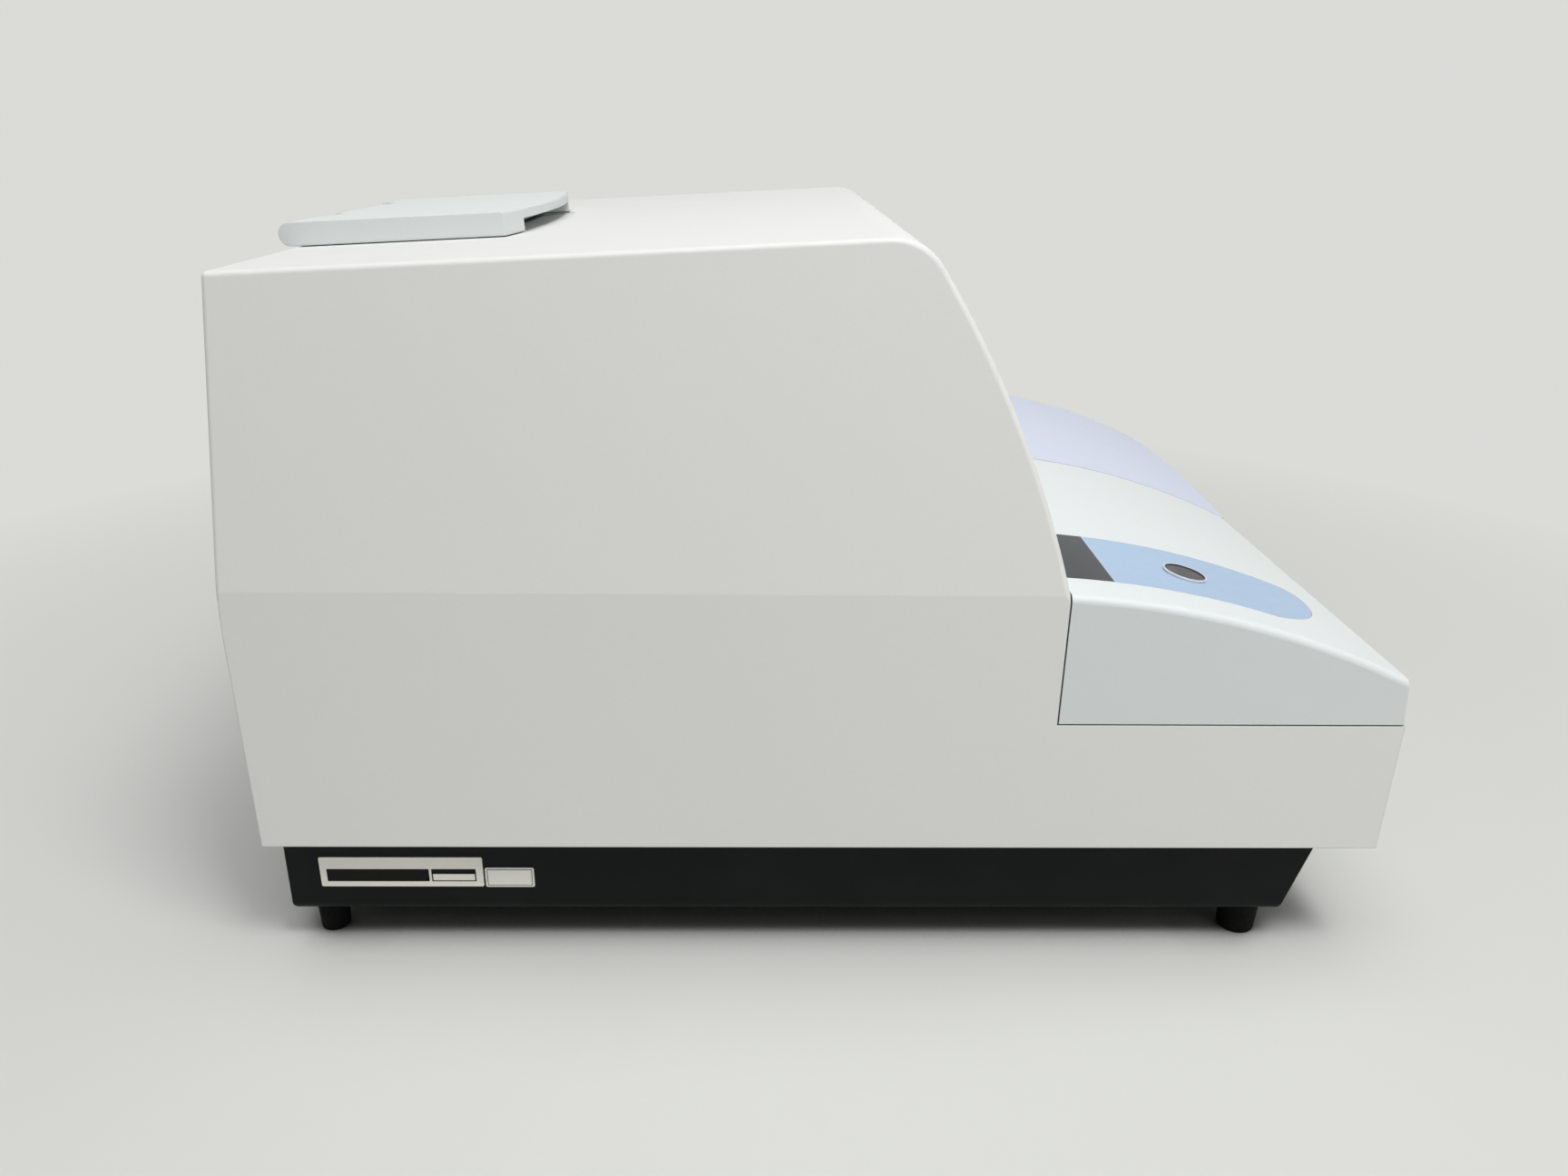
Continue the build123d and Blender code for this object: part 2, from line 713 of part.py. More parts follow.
def display_module():
    """The small display behind the window."""
    near_x = -half_width + overlay_left_inset + window_margin + 1.5
    front = at_run(window_run) + window_margin + 1.5
    top = surface_z(front, hood_wall + 0.4)
    body = block(near_x, near_x + overlay_width - 2 * window_margin - 3.0,
                 front - 1.0, front + display_length - 6.0, top - display_depth, top)
    face = block(near_x + 4, near_x + overlay_width - 2 * window_margin - 7.0,
                 front + 3.0, front + display_length - 14.0, top - 1, top + 1.6)
    return body + face


door_axis_y = at_run(seam_run + door_rear_gap + door_hinge_setback)
door_axis_z = surface_z(door_axis_y) - door_hinge_drop


def door_plan(inset, rear_extra):
    """The door in plan, with its bowed front lip."""
    front = at_run(body_run)
    left, right = door_left_x + inset, door_right_x - inset
    back = at_run(seam_run + door_rear_gap) + rear_extra
    left_corner, right_corner = (left, front + inset), (right, front + inset)
    edges = [
        ThreePointArc(left_corner, ((left + right) / 2, front - door_lip_bow + inset), right_corner),
        Polyline(right_corner, (right, back), (left, back), left_corner),
    ]
    return raised(make_face(edges), crease_height + beyond)


def door_drum(drop, inset, floor_drop):
    """The crowned door surface, turned about the same axis as the hood's top, down to floor_drop."""
    low = hood_arc_radius - floor_drop
    left = (door_left_x + inset, hood_arc_radius - drop)
    right = (door_right_x - inset, hood_arc_radius + door_side_rise - drop)
    middle = ((left[0] + right[0]) / 2, hood_arc_radius + door_crown - drop)
    edges = [ThreePointArc(left, middle, right), Polyline(right, (right[0], low), (left[0], low), left)]
    section = Pos(0, drum_y, drum_z) * (Plane.XZ * make_face(edges))
    return revolve(section, axis=Axis((0, drum_y, drum_z), (1, 0, 0)), revolution_arc=32)


def lug_starts():
    return [door_left_x + door_lug_inset, door_right_x - door_lug_inset - door_lug_width]


def ear_starts(lug_x):
    """Where the two fixed ears beside a lug begin."""
    return (lug_x - side_play - door_ear_thickness, lug_x + door_lug_width + side_play)


def plate_door():
    """The lilac door over the loading bay: a crowned skin with turned-down edges and two hinge lugs."""
    door = door_drum(0, 0, door_skirt) & door_plan(0, 0) & case_section(0)
    door_width, door_reach = door_right_x - door_left_x, body_run - seam_run
    crown_edges = [e for e in door.edges() if e.center().X > half_width - 8 and e.length > door_reach / 2
                   and e.center().Z > surface_z(e.center().Y) - 4]
    door = fillet(crown_edges, radius=door_edge_radius)
    rear_edges = [e for e in door.edges() if e.center().Y > at_run(seam_run + door_rear_gap) - 0.5
                  and e.center().Z > door_axis_z and e.length > door_width / 2]
    door = fillet(rear_edges, radius=door_rear_radius)
    door -= door_drum(door_skin, door_skin, door_skirt + 5) & door_plan(door_skin, beyond)
    for x0 in lug_starts():
        lug = rod_x(door_lug_radius, x0, x0 + door_lug_width, door_axis_y, door_axis_z)
        web = block(x0, x0 + door_lug_width, door_axis_y - 12.0, door_axis_y, door_axis_z - 2.0, door_axis_z + 6.0)
        door += lug + (web & drum(hood_arc_radius))
        door -= rod_x(door_pin_radius + running_clearance, x0 - 1, x0 + door_lug_width + 1,
                      door_axis_y, door_axis_z)
        for x in ear_starts(x0):
            door -= block(x - side_play, x + door_ear_thickness + side_play,
                          door_axis_y - door_ear_radius - door_ear_clearance, door_axis_y + beyond,
                          door_axis_z - beyond / 4, door_axis_z + beyond / 4)
    return door


def door_brackets():
    """Two forked brackets on the bulkhead that carry the door's pins."""
    brackets = []
    back = at_run(bulkhead_run)
    for x0 in lug_starts():
        left, right = ear_starts(x0)
        bracket = block(left, right + door_ear_thickness, back - 2.5, back, door_axis_z - 30.0, door_axis_z - 6.0)
        profile = make_face(Polyline((back, door_axis_z - 1.0), (back, door_axis_z - 14.0),
                                     (door_axis_y - 1.5, door_axis_z - 2.8), (door_axis_y, door_axis_z + 0.4),
                                     close=True))
        for ear in (left, right):
            arm = Pos(ear, 0, 0) * extrude(Plane.YZ * profile, amount=door_ear_thickness, dir=(1, 0, 0))
            bracket += arm + rod_x(door_ear_radius, ear, ear + door_ear_thickness, door_axis_y, door_axis_z)
        brackets.append(bracket - rod_x(door_pin_radius, left - 1, right + door_ear_thickness + 1,
                                        door_axis_y, door_axis_z))
    return brackets


def door_pins():
    pins = []
    for x0 in lug_starts():
        reach = side_play + door_ear_thickness
        pins.append(rod_x(door_pin_radius, x0 - reach, x0 + door_lug_width + reach, door_axis_y, door_axis_z))
    return pins


def tray_outline(inset):
    """The base tray from the side: upright behind, raked in front."""
    top = cover_bottom + tray_rim_above
    low = foot_height + inset
    rake = tan(radians(tray_front_lean))
    front_low = at_run(tray_front_run) + inset
    front_top = front_low - (top - low) * rake
    back = panel_y - inset
    rim = top if inset == 0 else top + beyond
    front_rim = front_low - (rim - low) * rake
    return make_face(Polyline((front_low, low), (back, low), (back, rim), (front_rim, rim), close=True))


def base_tray():
    """The black sheet-metal tray that everything is built on."""
    side = half_width - tray_inset
    body = extrude(Plane.YZ * tray_outline(0), amount=side, both=True)
    low_edges = [e for e in body.edges() if e.center().Z < foot_height + 0.1]
    body = fillet(low_edges, radius=tray_edge_radius)
    space = extrude(Plane.YZ * tray_outline(tray_wall), amount=side - tray_wall, both=True)
    low_edges = [e for e in space.edges() if e.center().Z < tray_floor + 0.1]
    body -= fillet(low_edges, radius=tray_edge_radius - tray_wall)
    for x, y, radius in foot_places():
        body -= rod_upright(foot_screw_radius, x, y, foot_height - 1, tray_floor + 1)
    return body


def foot_places():
    x = half_width - foot_inset
    return [(sx * x, at_run(run), radius) for run, radius in
            ((front_foot_run, front_foot_radius), (rear_foot_run, rear_foot_radius)) for sx in (-1, 1)]


def foot(x, y, radius):
    """A rubber foot, a little narrower at the bench, with a rounded lower edge."""
    shape = Solid.make_cone(radius - foot_taper, radius, foot_height)
    shape = fillet(shape.edges().sort_by(Axis.Z)[0], radius=1.5)
    bore = rod_upright(foot_screw_radius, x, y, foot_height - foot_screw_depth, foot_height + 1)
    return Pos(x, y, 0) * shape - bore


def front_feet():
    return [foot(*place) for place in foot_places() if place[1] < 0]


def rear_feet():
    return [foot(*place) for place in foot_places() if place[1] > 0]


def foot_screws():
    screws = []
    for x, y, radius in foot_places():
        shank = rod_upright(foot_screw_radius, x, y, foot_height - foot_screw_depth, tray_floor + 1)
        head = rod_upright(foot_screw_head_radius, x, y, tray_floor, tray_floor + foot_screw_head)
        slot = block(x - 1, x + 1, y - 4, y + 4, tray_floor + foot_screw_head - 1.2, tray_floor + 10)
        screws.append(shank + head - slot)
    return screws


def cover_rails():
    """A rail along each side that carries the cover on the tray."""
    rails = []
    middle = (panel_y + at_run(tray_front_run)) / 2
    low = cover_bottom + 2.0
    for sign in (-1, 1):
        inner, outer = sign * (half_width - tray_inset), sign * half_width
        rail = block(min(inner, outer), max(inner, outer), middle - rail_length / 2, middle + rail_length / 2,
                     low, low + rail_height)
        rails.append(rail & case_section(cover_wall + seat_clearance))
    return rails


def rear_panel():
    """The black rear panel behind the cover's cut-out, punched for sockets, switch, ports and fan."""
    top = cover_bottom + cutout_height + panel_top_margin
    panel = block(-panel_width / 2, panel_width / 2, panel_y, panel_face, foot_height + 4.0, top)

    def hole(x, z, width, height):
        return block(x - width / 2, x + width / 2, panel_y - 1, panel_face + 1, z - height / 2, z + height / 2)

    panel -= hole(inlet_x, service_z, inlet_width - 2 * inlet_border, inlet_height - 2 * inlet_border)
    panel -= hole(switch_x, service_z, switch_width - 2 * 1.5, switch_height - 2 * 1.5)
    for x in port_xs:
        panel -= hole(x, service_z, port_shell + 2, port_height - 2)
    for k in range(slot_count):
        z = fan_z + (k - (slot_count - 1) / 2) * slot_pitch
        reach = sqrt(fan_bore_radius ** 2 - (z - fan_z) ** 2) - 2.0
        slot = SlotOverall(2 * reach, slot_width)
        panel -= extrude(Pos(fan_x, panel_y, z) * Rot(90, 0, 0) * slot, amount=2 * panel_thickness, both=True)
    vent = Rot(0, 0, 90) * SlotOverall(vent_length, vent_width)
    for k in range(vent_count):
        x = inlet_x + vent_offset + (k - (vent_count - 1) / 2) * vent_pitch
        shape = Pos(x, panel_y, cover_bottom + vent_rise) * Rot(90, 0, 0) * vent
        panel -= extrude(shape, amount=2 * panel_thickness, both=True)
    return panel


def rear_panel_screws():
    """Round-headed screws along the panel's rim."""
    top = cover_bottom + cutout_height
    screws = []
    for x in (-1, -0.34, 0.34, 1):
        for z in (cover_bottom + panel_screw_inset, top - panel_screw_inset):
            px = x * (cutout_width / 2 - panel_screw_inset)
            head = rod_y(panel_screw_radius, px, panel_face, panel_face + panel_screw_head, z)
            screws.append(head - block(px - 0.5, px + 0.5, panel_face + 1, panel_face + 3, z - 2.2, z + 2.2))
    return screws


def mains_inlet():
    """The recessed mains inlet with three contacts and the slot of its fuse drawer."""
    flange = block(inlet_x - inlet_width / 2, inlet_x + inlet_width / 2, panel_face, panel_face + inlet_flange,
                   service_z - inlet_height / 2, service_z + inlet_height / 2)
    half_body = inlet_width / 2 - inlet_border - 0.3
    half_tall = inlet_height / 2 - inlet_border - 0.3
    face = panel_face + inlet_flange
    body = block(inlet_x - half_body, inlet_x + half_body, face - inlet_depth, panel_face,
                 service_z - half_tall, service_z + half_tall)
    inlet = flange + body
    low = service_z - half_tall + 1.5
    half, tall, corner = socket_width / 2, socket_height, 4.0
    profile = make_face(Polyline((-half, 0), (half, 0), (half, tall - corner), (half - corner, tall),
                                 (-half + corner, tall), (-half, tall - corner), close=True))
    recess = Pos(inlet_x, face, low) * extrude(Plane.XZ * profile, amount=socket_depth, both=True)
    inlet -= recess
    for dx, dz in ((-7, 5), (0, 9.5), (7, 5)):
        inlet += block(inlet_x + dx - 1, inlet_x + dx + 1, face - socket_depth - 1,
                       face - socket_depth + contact_depth, low + dz - 2, low + dz + 2)
    x0, x1, z0, z1 = drawer_space(drawer_clearance)
    inlet -= block(x0, x1, face - drawer_depth - drawer_clearance, face + 1, z0, z1)
    return inlet


def drawer_space(clearance):
    low = service_z - (inlet_height / 2 - inlet_border - 0.3) + 1.5 + socket_height + 1.0
    return (inlet_x - drawer_width / 2 - clearance, inlet_x + drawer_width / 2 + clearance,
            low - clearance, low + drawer_height + clearance)


def fuse_drawer():
    """The fuse drawer above the socket, with a lip to pull it by."""
    x0, x1, z0, z1 = drawer_space(0)
    face = panel_face + inlet_flange
    drawer = block(x0, x1, face - drawer_depth, face + 1.2, z0, z1)
    return drawer - block(x0 + 3, x1 - 3, face - drawer_depth + 3, face - 3, z0 + 1.2, z1 + 1)


def switch_bezel():
    """Frame of the mains switch, with the bore its rocker turns in."""
    face = panel_face + 2.0
    frame = block(switch_x - switch_width / 2, switch_x + switch_width / 2, panel_face, face,
                  service_z - switch_height / 2, service_z + switch_height / 2)
    frame += block(switch_x - switch_width / 2 + 1.8, switch_x + switch_width / 2 - 1.8,
                   face - switch_depth, panel_face,
                   service_z - switch_height / 2 + 1.8, service_z + switch_height / 2 - 1.8)
    frame -= block(switch_x - switch_width / 2 + switch_border, switch_x + switch_width / 2 - switch_border,
                   face - switch_depth + 2.0, face + 1,
                   service_z - switch_height / 2 + switch_border, service_z + switch_height / 2 - switch_border)
    return frame - rod_x(rocker_pin_radius, switch_x - switch_width / 2 + 1.9, switch_x + switch_width / 2 - 1.9,
                         rocker_axis_y, service_z)


def power_rocker():
    """The switch's rocker: two raked faces about a pivot."""
    half = switch_width / 2 - switch_border - drawer_clearance
    tall = switch_height / 2 - switch_border - 1.6
    rake = tan(radians(rocker_rake))
    back, front = rocker_axis_y - rocker_half_depth, rocker_axis_y + rocker_half_depth
    profile = make_face(Polyline((back, service_z - tall * 0.45), (back, service_z + tall * 0.45),
                                 (front + tall * rake, service_z + tall), (front, service_z),
                                 (front + tall * rake * 0.1, service_z - tall), close=True))
    body = Pos(switch_x, 0, 0) * extrude(Plane.YZ * profile, amount=half, both=True)
    pin_end = switch_width / 2 - 2.2
    return body + rod_x(rocker_pin_radius - running_clearance, switch_x - pin_end, switch_x + pin_end,
                        rocker_axis_y, service_z)


def interface_ports():
    """Two D-shaped data sockets with their flanges."""
    ports = []
    for x in port_xs:
        shell = make_face(Polyline((-port_shell / 2, 4), (port_shell / 2, 4), (port_shell / 2 - 1.5, -4),
                                   (-port_shell / 2 + 1.5, -4), close=True))
        flange = block(x - port_width / 2, x + port_width / 2, panel_face, panel_face + 0.8,
                       service_z - port_height / 2, service_z + port_height / 2)
        core = Pos(x, panel_face, service_z) * extrude(Plane.XZ * shell, amount=port_depth)
        nose = Pos(x, panel_face, service_z) * extrude(Plane.XZ * shell, amount=-3.6)
        hollow = Pos(x, panel_face + 3.7, service_z) * extrude(Plane.XZ * offset(shell, amount=-0.8), amount=3.0)
        ports.append(flange + core + nose - hollow)
    return ports


def fan_frame():
    """Square fan frame with its bore, four struts and the motor cup."""
    back = panel_y - fan_depth
    half, reach = fan_size / 2, fan_bore_radius + 1
    frame = block(fan_x - half, fan_x + half, back, panel_y, fan_z - half, fan_z + half)
    frame -= rod_y(fan_bore_radius, fan_x, back - 1, panel_y + 1, fan_z)
    struts = block(fan_x - reach, fan_x + reach, back, back + 3, fan_z - 2, fan_z + 2)
    struts += block(fan_x - 2, fan_x + 2, back, back + 3, fan_z - reach, fan_z + reach)
    cup = rod_y(fan_hub_radius - 1, fan_x, back, back + 5, fan_z)
    shaft = rod_y(fan_shaft_radius, fan_x, back, back + 18, fan_z)
    return frame + struts + cup + shaft


def fan_rotor():
    """Hub and pitched blades, turning on the frame's shaft."""
    back = panel_y - fan_depth + 6.0
    hub = rod_y(fan_hub_radius, fan_x, back, back + 15, fan_z)
    blade_reach = fan_bore_radius - fan_tip_clearance
    ring = rod_y(blade_reach, fan_x, back - 1, back + 16, fan_z)
    blade = Pos((blade_reach + fan_hub_radius) / 2, 0, 0) * Rot(fan_blade_pitch, 0, 0) * Box(
        blade_reach - fan_hub_radius + 8, 18.0, fan_blade_thickness)
    rotor = hub
    for k in range(fan_blade_count):
        turned = Pos(fan_x, back + 7.5, fan_z) * Rot(0, 360 / fan_blade_count * k, 0) * blade
        rotor += turned & ring
    return rotor - rod_y(fan_shaft_radius + running_clearance, fan_x, back - 1, back + 13, fan_z)


rod_front_y = load_y - carriage_length / 2 - block_clearance
rod_rear_y = load_y + stage_travel + carriage_length / 2 + block_clearance
bench_front_y = rod_front_y - rod_block_thickness - 0.5
bench_rear_y = rod_rear_y + rod_block_thickness + motor_length + bench_tail


def stage_bench():
    """The ground plate of the plate transport."""
    plate = block(stage_x - bench_width / 2, stage_x + bench_width / 2, bench_front_y, bench_rear_y,
                  bench_bottom, bench_top)
    slot = raised(SlotOverall(bench_slot_length, bench_slot_width), bench_thickness + 2)
    middle_y = (bench_front_y + bench_rear_y) / 2
    for sign in (-1, 1):
        plate -= Pos(stage_x + sign * bench_slot_offset, middle_y, bench_bottom - 1) * Rot(0, 0, 90) * slot
    return plate


def bench_pillars():
    pillars = []
    for x in (-1, 1):
        for y in (bench_front_y + pillar_front_inset, (bench_front_y + bench_rear_y) / 2,
                  bench_rear_y - pillar_inset):
            px = stage_x + x * (bench_width / 2 - pillar_inset)
            pillars.append(rod_upright(pillar_radius, px, y, tray_floor, bench_bottom))
    return pillars


def rod_block(y0, y1):
    """An end block that holds both guide rods and a bearing of the lead screw."""
    body = block(stage_x - rod_block_width / 2, stage_x + rod_block_width / 2, y0, y1, bench_top,
                 bench_top + rod_block_height)
    for x in (-1, 1):
        body -= rod_y(rod_radius, stage_x + x * rod_spread / 2, y0 - 1, y1 + 1, rod_z)
    return body - rod_y(screw_radius + running_clearance, stage_x, y0 - 1, y1 + 1, rod_z)


def rod_blocks():
    return [rod_block(rod_front_y - rod_block_thickness, rod_front_y),
            rod_block(rod_rear_y, rod_rear_y + rod_block_thickness)]


def guide_rods():
    return [rod_y(rod_radius, stage_x + x * rod_spread / 2, rod_front_y - rod_block_thickness,
                  rod_rear_y + rod_block_thickness, rod_z) for x in (-1, 1)]


def lead_screw():
    """Lead screw of the long travel, with a collar before its rear bearing."""
    back = rod_rear_y + rod_block_thickness + shaft_reach
    screw = rod_y(screw_radius, stage_x, rod_front_y - rod_block_thickness, back, rod_z)
    collar_y = rod_rear_y - seat_clearance
    return screw + rod_y(screw_radius + collar_step, stage_x, collar_y - collar_length, collar_y, rod_z)


def stage_motor():
    """Stepping motor of the long travel, on the rear end block."""
    y0 = rod_rear_y + rod_block_thickness
    half = motor_side / 2
    motor = block(stage_x - half, stage_x + half, y0, y0 + motor_length, bench_top, bench_top + motor_side)
    upright = [e for e in motor.edges() if abs(e.tangent_at(0.5).Y) > 0.9]
    motor = chamfer(upright, length=4.0)
    return motor - rod_y(screw_radius + running_clearance, stage_x, y0 - 1, y0 + shaft_reach + 1, rod_z)


def carriage():
    """The long-travel carriage: bushings and nut below, cheeks for the cross rods above."""
    y0, y1 = load_y - carriage_length / 2, load_y + carriage_length / 2
    x0, x1 = stage_x - carriage_width / 2, stage_x + carriage_width / 2
    top = carriage_z + carriage_plate
    body = block(x0, x1, y0, y1, carriage_z, top)
    body -= Pos(stage_x, load_y, carriage_z - 1) * extrude(RectangleRounded(64, 50, 6), amount=carriage_plate + 2)
    for x in (-1, 1):
        rx = stage_x + x * rod_spread / 2
        body += block(rx - bushing_width / 2, rx + bushing_width / 2, y0, y1, carriage_z - bushing_drop, carriage_z)
        body -= rod_y(rod_radius + running_clearance, rx, y0 - 1, y1 + 1, rod_z)
    half_nut = stage_nut_width / 2
    body += block(stage_x - half_nut, stage_x + half_nut, y1 - stage_nut_width, y1,
                  carriage_z - bushing_drop, carriage_z)
    body -= rod_y(screw_radius + screw_clearance, stage_x, y0 - 1, y1 + 1, rod_z)
    for cheek in (x0, x1 - cheek_thickness):
        body += block(cheek, cheek + cheek_thickness, y0, y1, top, top + cheek_height)
    for y in (-1, 1):
        body -= rod_x(cross_rod_radius, x0 - 1, x1 + 1, load_y + y * cross_rod_spread / 2, cross_z)
    return body - rod_x(cross_screw_radius + running_clearance, x1 - cheek_thickness - 1, x1 + 1, load_y, cross_z)


def cross_rods():
    half = carriage_width / 2
    return [rod_x(cross_rod_radius, stage_x - half, stage_x + half, load_y + y * cross_rod_spread / 2, cross_z)
            for y in (-1, 1)]


def cross_motor():
    x0 = stage_x - carriage_width / 2 + cheek_thickness
    half = cross_motor_side / 2
    motor = block(x0, x0 + cross_motor_length, load_y - half, load_y + half, cross_z - half, cross_z + half)
    foot_plate = block(x0, x0 + 6, load_y - half, load_y + half, carriage_z + carriage_plate, cross_z)
    motor += foot_plate
    return motor - rod_x(cross_screw_radius + running_clearance, x0 + cross_motor_length - 7,
                         x0 + cross_motor_length + 1, load_y, cross_z)


def cross_screw():
    x0 = stage_x - carriage_width / 2 + cheek_thickness + cross_motor_length
    x1 = stage_x + carriage_width / 2
    screw = rod_x(cross_screw_radius, x0 - 6, x1, load_y, cross_z)
    collar_x = x1 - cheek_thickness - seat_clearance
    return screw + rod_x(cross_screw_radius + 2, collar_x - 4, collar_x, load_y, cross_z)


def plate_carrier():
    """The carrier that takes a microplate: a pocket with an open floor, grips and a recess for the clamp."""
    x0, x1 = stage_x - carrier_width / 2, stage_x + carrier_width / 2
    y0, y1 = load_y - carrier_length / 2, load_y + carrier_length / 2
    top = carrier_z + carrier_height
    body = block(x0, x1, y0, y1, carrier_z, top)
    body = fillet(body.edges().filter_by(Axis.Z), radius=4.0)
    half_x, half_y = plate_width / 2 + plate_clearance, plate_length / 2 + plate_clearance
    body -= block(stage_x - half_x, stage_x + half_x, load_y - half_y, load_y + half_y,
                  carrier_z + pocket_floor, top + 1)
    body -= block(stage_x - half_x + window_inset, stage_x + half_x - window_inset,
                  load_y - half_y + window_inset, load_y + half_y - window_inset, carrier_z - 1, top)
    body -= block(x0 - 1, x1 + 1, load_y - grip_width / 2, load_y + grip_width / 2,
                  carrier_z + pocket_floor, top + 1)
    pivot_x, pivot_y, floor = clamp_pivot()
    body -= block(x0 - 1, stage_x - half_x + 1, pivot_y - 6, pivot_y + clamp_length, floor, top + 1)
    body += rod_upright(clamp_pin_radius, pivot_x, pivot_y, floor - 1, top)
    for y in (-1, 1):
        ry = load_y + y * cross_rod_spread / 2
        slider = block(stage_x - slider_length / 2, stage_x + slider_length / 2, ry - slider_width / 2,
                       ry + slider_width / 2, cross_z - 8, carrier_z + pocket_floor)
        bridge = block(stage_x - half_x + 2, stage_x + half_x - 2, ry - slider_width / 2, ry + slider_width / 2,
                       carrier_z, carrier_z + pocket_floor)
        body += slider + bridge
        body -= rod_x(cross_rod_radius + running_clearance, stage_x - slider_length, stage_x + slider_length,
                      ry, cross_z)
    nut = block(stage_x - nut_width / 2, stage_x + nut_width / 2, load_y - nut_width / 2, load_y + nut_width / 2,
                cross_z - 7, carrier_z + pocket_floor)
    web = block(stage_x - 5, stage_x + 5, load_y - cross_rod_spread / 2, load_y + cross_rod_spread / 2,
                carrier_z, carrier_z + pocket_floor)
    body += nut + web
    return body - rod_x(cross_screw_radius + screw_clearance, stage_x - nut_width, stage_x + nut_width,
                        load_y, cross_z)


def clamp_pivot():
    half_x = plate_width / 2 + plate_clearance
    x = stage_x - (half_x + carrier_width / 2) / 2
    return x, load_y + clamp_y, carrier_z + pocket_floor + 1.0


def plate_clamp():
    """A short lever that holds the plate against the far side of its pocket."""
    x, y, floor = clamp_pivot()
    z0, z1 = floor + seat_clearance, floor + clamp_height
    arm = block(x - clamp_thickness / 2, x + clamp_thickness / 2, y, y + clamp_length - 6, z0, z1)
    nose = rod_upright(clamp_nose_radius, x, y + clamp_length - 6, z0, z1)
    eye = rod_upright(clamp_thickness / 2 + 0.8, x, y, z0, z1)
    return arm + nose + eye - rod_upright(clamp_pin_radius + running_clearance, x, y, z0 - 1, z1 + 1)


def light_bulkhead():
    """The wall that keeps light out of the measuring chamber, with the passage of the stage."""
    y0 = at_run(bulkhead_run)
    half = half_width - tray_inset - tray_wall - seat_clearance
    wall = block(-half, half, y0, y0 + bulkhead_thickness, tray_floor, crease_height - 1.0)
    wall = wall & case_section(cover_wall + seat_clearance)
    passage_x = stage_x - bench_width / 2 - passage_clearance
    passage = block(passage_x, half + 1, y0 - 1, y0 + bulkhead_thickness + 1, tray_floor - 1, bulkhead_sill)
    wall -= passage
    for x0 in (-half - 1, half - 4.5):
        wall -= block(x0, x0 + 5.5, y0 - 1, y0 + bulkhead_thickness + 1, tray_floor - 1, tray_floor + 4.5)
    foot_flange = block(-half + tray_edge_radius, passage_x - 12.0, y0, y0 + 16.0, tray_floor, tray_floor + 3.0)
    return wall + foot_flange


def bay_surround():
    """Walls round three sides of the loading bay, and the rim that closes it against the cover."""
    x0, x1 = stage_x - bay_width / 2, stage_x + bay_width / 2
    front = load_y - carrier_length / 2 - bay_front_gap - bay_wall
    back = at_run(bulkhead_run) - seat_clearance
    top = ledge_height - bay_rim_drop
    over_tray = cover_bottom + tray_rim_above + 1.0
    edge = cover_wall + tongue_thickness + 2 * seat_clearance
    rim = block(door_left_x - door_gap - hood_wall, half_width, at_run(body_run) + edge, back, top - bay_rim, top)
    rim = rim & case_section(edge)
    walls = block(x0, x1, front, back, over_tray, top)
    walls += block(x0, x1, bench_front_y, back, bench_top, over_tray)
    inside = block(x0 + bay_wall, x1 - bay_wall, front + bay_wall, back + 1, over_tray - 1, top + 1)
    inside += block(x0 + bay_wall, x1 - bay_wall, bench_front_y - 1, back + 1, bench_top - 1, over_tray)
    return rim + walls - inside


def optics_deck():
    """The plate that carries the optics, with the lens hole and lightening cuts."""
    front, back = at_run(deck_front_run), at_run(deck_rear_run)
    plate = block(deck_left_x, deck_right_x, front, back, deck_height, deck_top)
    plate -= rod_upright(lens_radius, stage_x, detector_y, deck_height - 1, deck_top + 1)
    shaft_x = stage_x - wheel_pitch_radius
    plate -= rod_upright(wheel_shaft_radius + 1.5, shaft_x, detector_y, deck_height - 1, deck_top + 1)
    cut = raised(RectangleRounded(deck_cut_width, deck_cut_length, deck_cut_radius), deck_thickness + 2)
    for x, y in ((stage_x - front_cut_reach, detector_y + front_cut_rise),
                 (stage_x + rear_cut_reach, detector_y + rear_cut_rise)):
        plate -= Pos(x, y, deck_height - 1) * cut
    return plate


def deck_columns():
    """Columns from the tray, or from the bench where it lies below."""
    front, back = at_run(deck_front_run) + column_inset, at_run(deck_rear_run) - column_inset
    left, right = deck_left_x + column_inset, deck_right_x - column_inset
    middle = stage_x - middle_column_reach
    feet = [(left, front, tray_floor), (left, back, tray_floor),
            (middle, front, tray_floor), (middle, back, tray_floor),
            (right, front, bench_top), (right, back, tray_floor)]
    return [rod_upright(column_radius, x, y, z, deck_height) for x, y, z in feet]


def lens_barrel():
    """The measuring lens, pointing down at the plate."""
    tube = rod_upright(lens_radius, stage_x, detector_y, lens_tip_height + 6, deck_top)
    tube += Pos(stage_x, detector_y, lens_tip_height) * Solid.make_cone(lens_radius - 4, lens_radius, 6)
    return tube - rod_upright(lens_bore_radius, stage_x, detector_y, lens_tip_height - 1, deck_top + 1)


wheel_z = deck_top + wheel_lift


